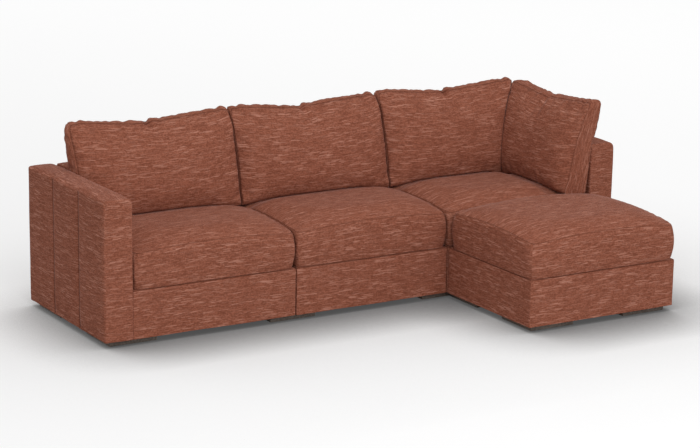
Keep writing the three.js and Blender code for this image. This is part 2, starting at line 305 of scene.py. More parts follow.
def slub_weave_group() -> bpy.types.NodeTree:
    """The woven pattern of the cover cloth: slubs along the weft, flecks across it, and the weave itself.

    Returns:
        A group that takes a place on the cloth in metres, the size of a thread and three colours, and
        gives the cloth's colour, its roughness and the height of its surface in metres.
    """
    tree, source, result = node_group(
        "Slub weave",
        [("Place", "Vector"), ("Thread", "Float"), ("Relief", "Float"),
         ("Dark", "Color"), ("Middle", "Color"), ("Light", "Color")],
        [("Color", "Color"), ("Roughness", "Float"), ("Height", "Float")],
    )
    place = source.outputs["Place"]
    dark = source.outputs["Dark"]
    u, v = tree.fill(tree.add("SeparateXYZ"), {0: place}).outputs[:2]
    waver = tree.math("MULTIPLY_ADD", tree.noise(place, (0.075, 0.040, 1)), 0.0038, v)
    long_slubs = tree.dashes(u, waver, Dashes(length=0.088, thickness=0.0040, few=0.50, seed=0.37))
    thin_slubs = tree.dashes(u, waver, Dashes(length=0.050, thickness=0.0030, few=0.25, seed=5.81))
    flecks = tree.dashes(u, waver, Dashes(length=0.020, thickness=0.0036, few=0.05, seed=9.13))
    thin_places = tree.dashes(u, waver, Dashes(length=0.038, thickness=0.0046, few=0.35, seed=3.71))
    drifts = tree.remap(tree.noise(place, (0.13, 0.026, 1)), 0.36, 0.60, 0.30, 1.0)
    slubs = tree.math("MULTIPLY", tree.math("MULTIPLY_ADD", thin_slubs, 0.60, long_slubs), drifts)
    slubs = tree.math("MULTIPLY", slubs, 0.72)
    shade = tree.noise(place, (0.0040, 0.024, 1))
    grit = tree.noise(place, (0.0080, 0.0060, 1), 2.0)
    cloud = tree.noise(place, (0.070, 0.0075, 1), 2.0)
    ground = tree.math("ADD", tree.math("MULTIPLY", flecks, 0.32), tree.math("MULTIPLY", shade, 0.30))
    for layer, share in ((grit, 0.75), (thin_places, -0.40), (cloud, 0.45)):
        ground = tree.math("MULTIPLY_ADD", layer, share, ground)
    ground = tree.remap(ground, 0.53, 1.03)

    turns = tree.math("DIVIDE", math.pi, source.outputs["Thread"])
    warp, weft = (tree.math("SINE", tree.math("MULTIPLY", way, turns)) for way in (u, v))
    weave = tree.math("MULTIPLY_ADD", tree.math("MULTIPLY", warp, weft), 0.5, 0.5)

    cloth = tree.blend(ground, dark, source.outputs["Middle"])
    cloth = tree.blend(tree.math("MINIMUM", slubs, 1.0), cloth, source.outputs["Light"])
    raised = tree.math("MULTIPLY_ADD", slubs, 0.6, weave)
    raised = tree.math("ADD", raised, tree.math("MULTIPLY", ground, 0.4))
    tree.fill(result, {
        "Color": tree.blend(tree.remap(weave, 0.0, 0.5, 0.35, 0.0), cloth, dark, "MULTIPLY"),
        "Roughness": tree.remap(slubs, 0.0, 1.0, 0.92, 0.74),
        "Height": tree.math("MULTIPLY", raised, source.outputs["Relief"]),
    })
    return tree.tree


def seam_group() -> bpy.types.NodeTree:
    """A sewn seam: a narrow groove, with a row of stitches that pull small hollows beside it.

    Returns:
        A group that takes the distance from the nearest seam and the place along it, both in metres, and
        gives a mask of painted shade for the groove and the hollows between stitches, and a height in
        metres.
    """
    groove_start, groove_end = 0.0005, 0.0050
    row_place, row_width = 0.0062, 0.0014
    thread_start, thread_end = 0.22, 0.38
    tree, source, result = node_group(
        "Sewn seam",
        [("Distance", "Float"), ("Run", "Float"), ("Depth", "Float"), ("Stitch", "Float")],
        [("Groove shade", "Float"), ("Height", "Float")],
    )
    distance = source.outputs["Distance"]
    groove = tree.remap(distance, groove_start, groove_end, 1.0, 0.0)
    from_row = tree.math("ABSOLUTE", tree.math("SUBTRACT", distance, row_place))
    row = tree.remap(from_row, 0.0, row_width, 1.0, 0.0)
    step = tree.math("FRACT", tree.math("DIVIDE", source.outputs["Run"], source.outputs["Stitch"]))
    from_middle = tree.math("ABSOLUTE", tree.math("SUBTRACT", step, 0.5))
    thread = tree.remap(from_middle, thread_start, thread_end, 1.0, 0.0)
    stitch = tree.math("MULTIPLY", row, thread)
    hole = tree.math("MULTIPLY", row, tree.math("SUBTRACT", 1.0, thread))
    lift = tree.math("SUBTRACT", tree.math("MULTIPLY", stitch, 0.3), groove)
    # The groove mask paints shade into the groove, and at half strength into the hollows between the
    # stitches.
    tree.fill(result, {
        "Groove shade": tree.math("MAXIMUM", groove, tree.math("MULTIPLY", hole, 0.5)),
        "Height": tree.math("MULTIPLY", lift, source.outputs["Depth"]),
    })
    return tree.tree


def wood_grain_group() -> bpy.types.NodeTree:
    """Straight wood grain along the Y axis, with fine pores.

    Returns:
        A group that takes an object place and two colours, and gives colour, roughness and height in metres.
    """
    tree, source, result = node_group(
        "Wood grain",
        [("Place", "Vector"), ("Dark", "Color"), ("Light", "Color"), ("Relief", "Float")],
        [("Color", "Color"), ("Roughness", "Float"), ("Height", "Float")],
    )
    place = source.outputs["Place"]
    rings = tree.noise(place, (0.010, 0.19, 0.012), 3.0, "3D")
    pores = tree.remap(tree.noise(place, (0.0012, 0.022, 0.0015), 1.0, "3D"), 0.40, 0.62)
    cloud = tree.noise(place, (0.09, 0.12, 0.09), 2.0, "3D")
    tone = tree.math("ADD", tree.math("MULTIPLY", rings, 0.6), tree.math("MULTIPLY", cloud, 0.4))
    tone = tree.math("MULTIPLY", tree.remap(tone, 0.36, 0.62), tree.math("MULTIPLY_ADD", pores, 0.35, 0.65))
    tree.fill(result, {
        "Color": tree.blend(tone, source.outputs["Dark"], source.outputs["Light"]),
        "Roughness": tree.remap(tone, 0.0, 1.0, 0.62, 0.44),
        "Height": tree.math("MULTIPLY", tone, source.outputs["Relief"]),
    })
    return tree.tree


@dataclass(frozen=True)
class Studio:
    """The pale floor, the soft light all round and the camera that sees the sofa as the photograph does.

    Each of the floor's two painted shadows, taken from ambient occlusion, has a reach in metres and a power.
    """

    floor_size: float = 90.0
    floor_colour: str = "D0D0D0"
    floor_roughness: float = 0.95
    # Colour of the painted shadow that the camera sees on the floor near the sofa.
    shadow_colour: str = "2C2C2C"
    bounce_colour: str = "C6C6C6"
    sky_strength: float = 0.80
    side_balance: float = 0.10
    # Strength of the floor's painted glow for the camera: its base, its rise towards the far floor, and its
    # least value in the deepest painted shadow.
    backdrop_lift: float = 0.290
    far_lift: float = 0.175
    far_way: tuple[float, float, float] = (0.8, 0.6, 0.0)
    far_reach: tuple[float, float] = (-5.0, 10.0)
    deep_lift: float = 0.070
    shadows: tuple[tuple[float, float], ...] = ((1.7, 0.52), (0.44, 1.35))
    shadow_lean: tuple[float, float, float] = (-0.17, 0.36, 0.917)
    key_power: float = 306.0
    key_size: float = 6.0
    key_place: tuple[float, float, float] = (-1.3, -7.4, 5.2)
    camera_place: tuple[float, float, float] = (-5.9875, -9.7793, 3.2563)
    camera_yaw: float = 0.5421244
    camera_pitch: float = -0.241888
    camera_roll: float = 0.0139710
    focal_pixels: float = 2344.73
    sensor_width: float = 36.0

    def build(self) -> None:
        """Makes the floor, the world, the lamp and the camera, and shows colours as they are written."""
        bpy.context.scene.view_settings.view_transform = "Standard"
        self.lay_floor()
        self.light_world()
        self.hang_key()
        self.place_camera()

    def lay_floor(self) -> None:
        """Lays a wide pale floor, which isn't part of the sofa. For the camera its colour has the sofa's
        shadow painted in, and it glows with painted light.
        """
        shape = bmesh.new()
        bmesh.ops.create_grid(shape, x_segments=1, y_segments=1, size=self.floor_size / 2)
        floor = finished_piece("studio_floor", shape)
        material, tree, surface = new_material("Pale floor")
        # Painted shadow: ambient occlusion near the sofa, around a normal that leans, darkens the floor.
        lean = tree.fill(tree.add("CombineXYZ"), dict(enumerate(self.shadow_lean)))
        light = 1.0
        for reach, power in self.shadows:
            open_sky = tree.add("AmbientOcclusion", samples=8)
            tree.fill(open_sky, {"Distance": reach, "Normal": lean.outputs[0]})
            light = tree.math("MULTIPLY", tree.math("POWER", open_sky.outputs["AO"], power), light)
        # Only camera rays see the painted shadow and the painted glow. Other rays see the bounce colour.
        seen = tree.add("LightPath").outputs["Is Camera Ray"]
        shaded = tree.math("MULTIPLY", seen, tree.math("SUBTRACT", 1.0, light))
        colour = tree.blend(seen, linear(self.bounce_colour), linear(self.floor_colour))
        # The painted glow grows towards the far floor and fades in the painted shadow.
        away = tree.add("VectorMath", operation="DOT_PRODUCT")
        tree.fill(away, {0: tree.add("TexCoord").outputs["Object"], 1: self.far_way})
        far = tree.remap(away.outputs["Value"], *self.far_reach)
        lift = tree.math("MULTIPLY_ADD", far, self.far_lift, self.backdrop_lift - self.deep_lift)
        painted_glow = tree.math("MULTIPLY_ADD", light, lift, self.deep_lift)
        tree.fill(surface, {
            "Base Color": tree.blend(shaded, colour, linear(self.shadow_colour)),
            "Roughness": self.floor_roughness,
            "Specular IOR Level": 0.0,
            "Emission Strength": 1.0,
            "Emission Color": tree.math("MULTIPLY", seen, painted_glow),
        })
        floor.data.materials.append(material)

    def light_world(self) -> None:
        """Lights the sofa evenly from all round. The camera and reflections see a white background."""
        world = bpy.data.worlds.new("Soft studio")
        bpy.context.scene.world = world
        world.use_nodes = True
        tree = NodeTree(world.node_tree)
        path = tree.add("LightPath")
        seen = tree.math("MAXIMUM", path.outputs["Is Camera Ray"], path.outputs["Is Glossy Ray"])
        seen = tree.math("MAXIMUM", seen, path.outputs["Is Transmission Ray"])
        side = tree.fill(tree.add("SeparateXYZ"), {0: tree.add("TexCoord").outputs["Generated"]})
        slope = self.side_balance * self.sky_strength
        light = tree.math("MULTIPLY_ADD", side.outputs[0], slope, self.sky_strength)
        strength = tree.math("ADD", tree.math("MULTIPLY", tree.math("SUBTRACT", 1.0, seen), light), seen)
        tree.fill(world.node_tree.nodes["Background"], {"Color": (1, 1, 1, 1), "Strength": strength})

    def hang_key(self) -> None:
        """Hangs one large soft lamp in front of the sofa, to the left."""
        lamp = bpy.data.lights.new("Key", "AREA")
        lamp.energy = self.key_power
        lamp.size = self.key_size
        holder = bpy.data.objects.new("key_lamp", lamp)
        holder.location = self.key_place
        aim = Vector((0, 0, 0)) - Vector(self.key_place)
        holder.rotation_euler = aim.to_track_quat("-Z", "Y").to_euler()
        bpy.context.scene.collection.objects.link(holder)

    def place_camera(self) -> None:
        """Sets the camera from the view that was fitted to the photograph."""
        heading = Vector((math.sin(self.camera_yaw), math.cos(self.camera_yaw), 0))
        forward = heading * math.cos(self.camera_pitch) + Vector((0, 0, math.sin(self.camera_pitch)))
        right = forward.cross(Vector((0, 0, 1))).normalized()
        turn = Matrix.Rotation(-self.camera_roll, 3, forward)
        columns = [turn @ way for way in (right, right.cross(forward), -forward)]
        camera = bpy.data.cameras.new("Photo view")
        camera.sensor_width = self.sensor_width
        camera.lens = self.sensor_width * self.focal_pixels / PHOTO_WIDTH
        camera.clip_end = self.floor_size
        holder = bpy.data.objects.new("photo_camera", camera)
        pose = Matrix(columns).transposed().to_4x4()
        pose.translation = Vector(self.camera_place)
        holder.matrix_world = pose
        bpy.context.scene.collection.objects.link(holder)
        bpy.context.scene.camera = holder


@dataclass(frozen=True)
class SlubCloth:
    """The cover cloth: rust coloured, with pale slubs, a soft nap and sewn seams, whose grooves have shade
    painted in.
    """

    name: str = "Rust slub cloth"
    dark: str = "7A4635"
    middle: str = "985D49"
    light: str = "BE8774"
    thread: float = 0.0016
    relief: float = 0.00028
    seam_depth: float = 0.0016
    # Colour and strength of the shade painted into the seam grooves.
    seam_shade_colour: str = "4E271B"
    seam_shade: float = 0.40
    stitch: float = 0.0055
    gloss: float = 0.06
    nap: float = 0.22
    nap_roughness: float = 0.20
    nap_colour: str = "E6CFCB"

    def material(self, weave: bpy.types.NodeTree, seam: bpy.types.NodeTree) -> bpy.types.Material:
        """Makes the cloth's material.

        Args:
            weave: The group that holds the woven pattern.
            seam: The group that holds the seams.

        Returns:
            The material, which reads the piece's own map and its seam attributes.
        """
        material, tree, surface = new_material(self.name)
        pattern = tree.fill(tree.add("Group", node_tree=weave), {
            "Place": tree.add("UVMap", uv_map="cloth").outputs[0],
            "Thread": self.thread,
            "Relief": self.relief,
            "Dark": linear(self.dark),
            "Middle": linear(self.middle),
            "Light": linear(self.light),
        })
        sewn = tree.fill(tree.add("Group", node_tree=seam), {
            "Distance": tree.add("Attribute", attribute_name="seam").outputs["Fac"],
            "Run": tree.add("Attribute", attribute_name="seam_run").outputs["Fac"],
            "Depth": self.seam_depth,
            "Stitch": self.stitch,
        })
        # Painted shade: the groove mask darkens the cloth towards the seam shade colour.
        shade = tree.math("MULTIPLY", sewn.outputs["Groove shade"], self.seam_shade)
        tree.fill(surface, {
            "Base Color": tree.blend(shade, pattern.outputs["Color"], linear(self.seam_shade_colour)),
            "Roughness": pattern.outputs["Roughness"],
            "Specular IOR Level": self.gloss,
            "Sheen Weight": self.nap,
            "Sheen Roughness": self.nap_roughness,
            "Sheen Tint": linear(self.nap_colour),
        })
        tree.raise_surface(surface, tree.math("ADD", pattern.outputs["Height"], sewn.outputs["Height"]))
        return material


@dataclass(frozen=True)
class Wood:
    """Solid wood with a grain, stained or bare."""

    name: str
    dark: str
    light: str
    relief: float = 0.0002

    def material(self, grain: bpy.types.NodeTree) -> bpy.types.Material:
        """Makes the wood's material.

        Args:
            grain: The group that holds the grain.

        Returns:
            The material.
        """
        material, tree, surface = new_material(self.name)
        pattern = tree.fill(tree.add("Group", node_tree=grain), {
            "Place": tree.add("TexCoord").outputs["Object"],
            "Dark": linear(self.dark),
            "Light": linear(self.light),
            "Relief": self.relief,
        })
        tree.fill(surface, {"Base Color": pattern.outputs["Color"],
                            "Roughness": pattern.outputs["Roughness"]})
        tree.raise_surface(surface, pattern.outputs["Height"])
        return material


@dataclass(frozen=True)
class Mottled:
    """A plain stuff with blotches of a given size: webbing, foam or brushed steel."""

    name: str
    dark: str
    light: str
    blotch: tuple[float, float, float]
    roughness: float
    relief: float
    metallic: float = 0.0

    def material(self) -> bpy.types.Material:
        """Makes the stuff's material.

        Returns:
            The material.
        """
        material, tree, surface = new_material(self.name)
        place = tree.add("TexCoord").outputs["Object"]
        tone = tree.remap(tree.noise(place, self.blotch, 2.0, "3D"), 0.34, 0.64)
        tree.fill(surface, {
            "Base Color": tree.blend(tone, linear(self.dark), linear(self.light)),
            "Roughness": tree.remap(tone, 0.0, 1.0, self.roughness, self.roughness * 0.8),
            "Metallic": self.metallic,
        })
        tree.raise_surface(surface, tree.math("MULTIPLY", tone, self.relief))
        return material


def finished_piece(name: str, shape: bmesh.types.BMesh) -> bpy.types.Object:
    """Turns a bmesh into an object at the origin, in the scene.

    Args:
        name: The object's name.
        shape: The bmesh, which is freed.

    Returns:
        The new object.
    """
    mesh = bpy.data.meshes.new(name)
    shape.to_mesh(mesh)
    shape.free()
    piece = bpy.data.objects.new(name, mesh)
    bpy.context.scene.collection.objects.link(piece)
    return piece


def rows_of(items: bpy.types.bpy_prop_collection, name: str) -> Points:
    """Reads a place or a direction of each item of a mesh.

    Args:
        items: The vertices, faces or normals.
        name: What is read.

    Returns:
        Rows of x, y and z.
    """
    flat = np.empty(len(items) * 3, np.float32)
    items.foreach_get(name, flat)
    return flat.reshape(-1, 3).astype(float)


def read_points(mesh: bpy.types.Mesh) -> Points:
    """The mesh's vertices as rows of x, y and z."""
    return rows_of(mesh.vertices, "co")


def write_points(mesh: bpy.types.Mesh, points: Points) -> None:
    """Moves the mesh's vertices to the given rows of x, y and z."""
    mesh.vertices.foreach_set("co", points.astype(np.float32).ravel())
    mesh.update()


def push_out(piece: bpy.types.Object, offset: Points) -> None:
    """Moves each vertex of a piece along its normal.

    Args:
        piece: The piece, which is changed.
        offset: How far each vertex moves, in metres.
    """
    normals = rows_of(piece.data.vertex_normals, "vector")
    write_points(piece.data, read_points(piece.data) + normals * offset[:, None])


def bell(values: Points, width: float) -> Points:
    """A smooth hill of height one at zero, which fades out within about twice the width."""
    return np.exp(-(values / width) ** 2)


def noise_at(points: Points, size: float, seed: int) -> Points:
    """Smooth noise between about minus one and one at each point.

    Args:
        points: Rows of x, y and z.
        size: The width of a typical hill of the noise, in metres.
        seed: Shifts the noise, so that pieces differ.

    Returns:
        One value for each point.
    """
    shifted = points / size + np.array([3.1, 7.7, 1.3]) * seed
    return np.array([noise.noise(Vector(place)) for place in shifted])


def soft_below(values: Points, limit: Points | float, soft: float) -> Points:
    """Keeps values below a limit, with a rounded turn that starts a little before it.

    Args:
        values: The values.
        limit: The limit, one for all or one for each.
        soft: How far before the limit the turn starts.

    Returns:
        The lowered values.
    """
    gap = limit - values
    eased = np.where(gap < soft, soft * np.exp(np.minimum(gap, soft) / soft - 1), gap)
    return limit - eased


def squeeze(points: Points, axis: int, low: float, high: float, soft: float) -> None:
    """Presses points between two planes.

    Args:
        points: Rows of x, y and z, which are changed.
        axis: Number of the axis across the planes.
        low: Place of the lower plane.
        high: Place of the higher plane.
        soft: How far before a plane the points start to turn.
    """
    points[:, axis] = soft_below(points[:, axis], high, soft)
    points[:, axis] = -soft_below(-points[:, axis], -low, soft)


@dataclass(frozen=True)
class Seam:
    """A straight sewn line on a box of panels, before the box is shaped."""

    start: tuple[float, float, float]
    end: tuple[float, float, float]

    def measure(self, points: Points) -> tuple[Points, Points]:
        """Measures points against the seam.

        Args:
            points: Rows of x, y and z.

        Returns:
            Distance of each point from the seam, and its place along the seam, in metres.
        """
        start = np.array(self.start)
        line = np.array(self.end) - start
        length = np.linalg.norm(line)
        run = np.clip((points - start) @ (line / length), 0, length)
        nearest = start + run[:, None] * (line / length)
        return np.linalg.norm(points - nearest, axis=1), run


def spaced(length: float, cell: float, close: Sequence[float] = (), marks: Sequence[float] = (),
           beside: float = 0.007) -> Points:
    """Places of the lines that cut a side of a panel into cells.

    Args:
        length: The side's length.
        cell: The size of a plain cell.
        close: Distances of extra lines from both ends, where an edge is rounded.
        marks: Places of seams that cross the side.
        beside: Distance of the lines that keep each seam narrow.

    Returns:
        The places, from zero to the length.
    """
    fixed = [0.0, length]
    for distance in close:
        fixed += [distance, length - distance]
    for mark in marks:
        fixed += [mark - beside, mark, mark + beside]
    plain = np.linspace(0, length, max(2, round(length / cell)) + 1)
    kept = [place for place in plain if min(abs(place - other) for other in fixed) > cell / 3]
    return np.array(sorted(set(fixed + kept)))


@dataclass
class PanelBox:
    """A closed box of cloth panels, cut along given lines, with its corner at the origin."""

    lines: tuple[Points, Points, Points]
    seams: Sequence[Seam]
    grain: Grain = Grain.LEVEL
    shift: tuple[float, float] = (0.0, 0.0)
    panel_shift: tuple[float, float, float] = (0.37, 0.71, 1.13)
    points: Points = field(init=False)
    distance: Points = field(init=False)
    run: Points = field(init=False)

    def build(self, name: str) -> bpy.types.Object:
        """Makes the box with its cloth map and its seam attributes.

        Args:
            name: The object's name.

        Returns:
            The object. The box keeps the unshaped points for whoever shapes it.
        """
        shape = bmesh.new()
        bmesh.ops.create_cube(shape, size=1.0)
        for axis, lines in enumerate(self.lines):
            along = [edge for edge in shape.edges
                     if abs(edge.verts[0].co[axis] - edge.verts[1].co[axis]) > 0.5]
            bmesh.ops.subdivide_edges(shape, edges=along, cuts=len(lines) - 2, use_grid_fill=True)
        piece = finished_piece(name, shape)
        unit = read_points(piece.data) + 0.5
        columns = [self.lines[axis][np.rint(unit[:, axis] * (len(self.lines[axis]) - 1)).astype(int)]
                   for axis in range(3)]
        self.points = np.stack(columns, axis=1)
        write_points(piece.data, self.points)
        self.map_cloth(piece.data)
        self.mark_seams(piece.data)
        piece.data.shade_smooth()
        return piece

    def map_cloth(self, mesh: bpy.types.Mesh) -> None:
        """Lays the cloth on each panel in real size, with its slubs along the first coordinate.

        Args:
            mesh: The unshaped box.
        """
        corners = np.empty(len(mesh.loops), np.int32)
        mesh.loops.foreach_get("vertex_index", corners)
        totals = np.empty(len(mesh.polygons), np.int32)
        mesh.polygons.foreach_get("loop_total", totals)
        facing = np.repeat(rows_of(mesh.polygons, "normal"), totals, axis=0)
        x, y, z = self.points[corners].T
        side, end = np.abs(facing[:, 1]) > 0.5, np.abs(facing[:, 0]) > 0.5
        u, v = x.copy(), y.copy()
        v[side] = z[side]
        u[end], v[end] = (y[end], z[end]) if self.grain is Grain.LEVEL else (z[end], y[end])
        panel = facing @ np.array(self.panel_shift)
        layer = mesh.uv_layers.new(name="cloth")
        places = np.stack([u + self.shift[0] + panel, v + self.shift[1] + 1.7 * panel], axis=1)
        layer.data.foreach_set("uv", places.astype(np.float32).ravel())

    def mark_seams(self, mesh: bpy.types.Mesh) -> None:
        """Stores how far each vertex is from its nearest seam, and where along it.

        Args:
            mesh: The unshaped box.
        """
        measured = [seam.measure(self.points) for seam in self.seams]
        distances = np.stack([distance for distance, _ in measured])
        runs = np.stack([run for _, run in measured])
        nearest = distances.argmin(axis=0)
        rows = np.arange(len(self.points))
        self.distance = distances[nearest, rows]
        self.run = runs[nearest, rows]
        for name, values in (("seam", self.distance), ("seam_run", self.run)):
            attribute = mesh.attributes.new(name, "FLOAT", "POINT")
            attribute.data.foreach_set("value", values.astype(np.float32))


def box_edges(size: Vector, axes: Sequence[Axis], levels: dict[Axis, Sequence[float]] | None = None
              ) -> list[Seam]:
    """The edges of a box that run along the given axes, as seams.

    Args:
        size: The box's size.
        axes: The directions of the wanted edges.
        levels: Where given for an axis, only edges at these places on that axis.

    Returns:
        The seams.
    """
    seams = []
    for axis in axes:
        first, second = [other for other in Axis if other is not axis]
        for a in (0.0, size[first.value]):
            for b in (0.0, size[second.value]):
                start = [0.0, 0.0, 0.0]
                start[first.value], start[second.value] = a, b
                if levels and any(start[key.value] not in places for key, places in levels.items()):
                    continue
                end = list(start)
                end[axis.value] = size[axis.value]
                seams.append(Seam(tuple(start), tuple(end)))
    return seams


def subdivide(piece: bpy.types.Object, levels: int = 1) -> None:
    """Smooths a piece with a subdivision surface that has the same level in every view.

    Args:
        piece: The piece.
        levels: How often its faces are split.
    """
    smooth = piece.modifiers.new("Smooth cloth", "SUBSURF")
    smooth.levels = levels
    smooth.render_levels = levels
    smooth.use_limit_surface = False


def apply_modifiers(piece: bpy.types.Object) -> None:
    """Bakes modifiers into a mesh.

    Args:
        piece: The piece that has them, which is changed.
    """
    graph = bpy.context.evaluated_depsgraph_get()
    baked = bpy.data.meshes.new_from_object(piece.evaluated_get(graph), depsgraph=graph)
    piece.modifiers.clear()
    old = piece.data
    piece.data = baked
    bpy.data.meshes.remove(old)


@dataclass(frozen=True)
class Stuffing:
    """How a cushion's cloth is blown up by its filling."""

    pressure: float = 4.0
    last_frame: int = 20
    limit: float = 0.012
    slack: float = 0.015
    tuck: float = 0.020
    steps: int = 20

    def swell(self, piece: bpy.types.Object, held: Points, seam: Points) -> None:
        """Blows the closed mesh up as cloth, and keeps each point within the limit.

        Args:
            piece: The cushion, which is changed.
            held: How firmly each vertex is held in place, from 0 to 1.
            seam: How much each vertex belongs to a seam, from 0 to 1. Seams are drawn tight, the rest
                is slack.
        """
        before = read_points(piece.data)
        cloth = piece.modifiers.new("Filling", "CLOTH")
        settings = cloth.settings
        settings.quality = 6
        settings.mass = 0.35
        settings.tension_stiffness = 18
        settings.compression_stiffness = 12
        settings.shear_stiffness = 6
        settings.bending_stiffness = 0.6
        settings.use_pressure = True
        settings.uniform_pressure_force = self.pressure
        settings.effector_weights.gravity = 0
        settings.vertex_group_mass = self.group(piece, "held", held)
        settings.vertex_group_shrink = self.group(piece, "drawn", seam)
        settings.shrink_min = -self.slack
        settings.shrink_max = self.tuck
        cloth.collision_settings.use_collision = False
        cloth.point_cache.frame_end = self.last_frame
        scene = bpy.context.scene
        for number in range(1, self.last_frame + 1):
            scene.frame_set(number)
        graph = bpy.context.evaluated_depsgraph_get()
        after = read_points(piece.evaluated_get(graph).data)
        piece.modifiers.remove(cloth)
        piece.vertex_groups.clear()
        scene.frame_set(1)
        move = after - before
        length = np.maximum(np.linalg.norm(move, axis=1, keepdims=True), TINY)
        write_points(piece.data, before + move * (self.limit * np.tanh(length / self.limit) / length))

    def group(self, piece: bpy.types.Object, name: str, weights: Points) -> str:
        """Stores weights as a vertex group.

        Args:
            piece: The piece.
            name: The group's name.
            weights: The weight of each vertex, from 0 to 1.

        Returns:
            The name.
        """
        group = piece.vertex_groups.new(name=name)
        levels = np.rint(weights * self.steps).astype(int)
        for level in range(1, self.steps + 1):
            members = np.flatnonzero(levels == level)
            if len(members):
                group.add(members.tolist(), level / self.steps, "REPLACE")
        return name


@dataclass(frozen=True)
class Sewing:
    """How deep seams are drawn in, how far their groove reaches, and the puckers beside it."""

    depth: float
    reach: float
    wave: float
    ripple: float

    def draw(self, piece: bpy.types.Object, box: PanelBox, seed: int) -> None:
        """Sinks the seams of a shaped piece and lets the cloth beside them pucker.

        Args:
            piece: The shaped piece, which is changed.
            box: The box that it was shaped from.
            seed: Makes the puckers of each piece its own.
        """
        unevenness = noise_at(box.points, self.wave, seed)
        groove = bell(box.distance, self.reach)
        fold = np.sin(2 * math.pi * box.run / self.wave + 4 * unevenness)
        fade = np.exp(-box.distance / (2.6 * self.reach)) * (1 - groove)
        push_out(piece, -self.depth * groove * (1 + 0.35 * unevenness) + self.ripple * fold * fade)


@dataclass(frozen=True)
class Lumps:
    """The slow and the quick unevenness of cloth over its filling. The slow one fades at the seams."""

    slow: float
    quick: float
    slow_size: float
    quick_size: float
    seam_reach: float
    seed_steps: tuple[int, int]
    quick_fades: bool = True
    squash: float = 1.0

    def press(self, piece: bpy.types.Object, box: PanelBox, seed: int) -> None:
        """Moves the cloth of a shaped piece in and out.

        Args:
            piece: The shaped piece, which is changed.
            box: The box that it was shaped from.
            seed: Makes the lumps of each piece its own.
        """
        places = box.points * np.array([1.0, 1.0, self.squash])
        slow = self.slow * noise_at(places, self.slow_size, seed + self.seed_steps[0])
        quick = self.quick * noise_at(places, self.quick_size, seed + self.seed_steps[1])
        away = 1 - bell(box.distance, self.seam_reach)
        push_out(piece, slow * away + quick * (away if self.quick_fades else 1))


def finish_cloth(piece: bpy.types.Object, material: bpy.types.Material, body: str,
                 nodes: Sequence[str]) -> None:
    """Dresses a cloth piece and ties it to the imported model.

    Args:
        piece: The finished piece.
        material: The cloth.
        body: The body that it moves with.
        nodes: The plain solids that it stands for.
    """
    piece.data.materials.append(material)
    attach(piece, body)
    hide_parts(*nodes)
    log.info("%s: %d faces", piece.name, len(piece.data.polygons))


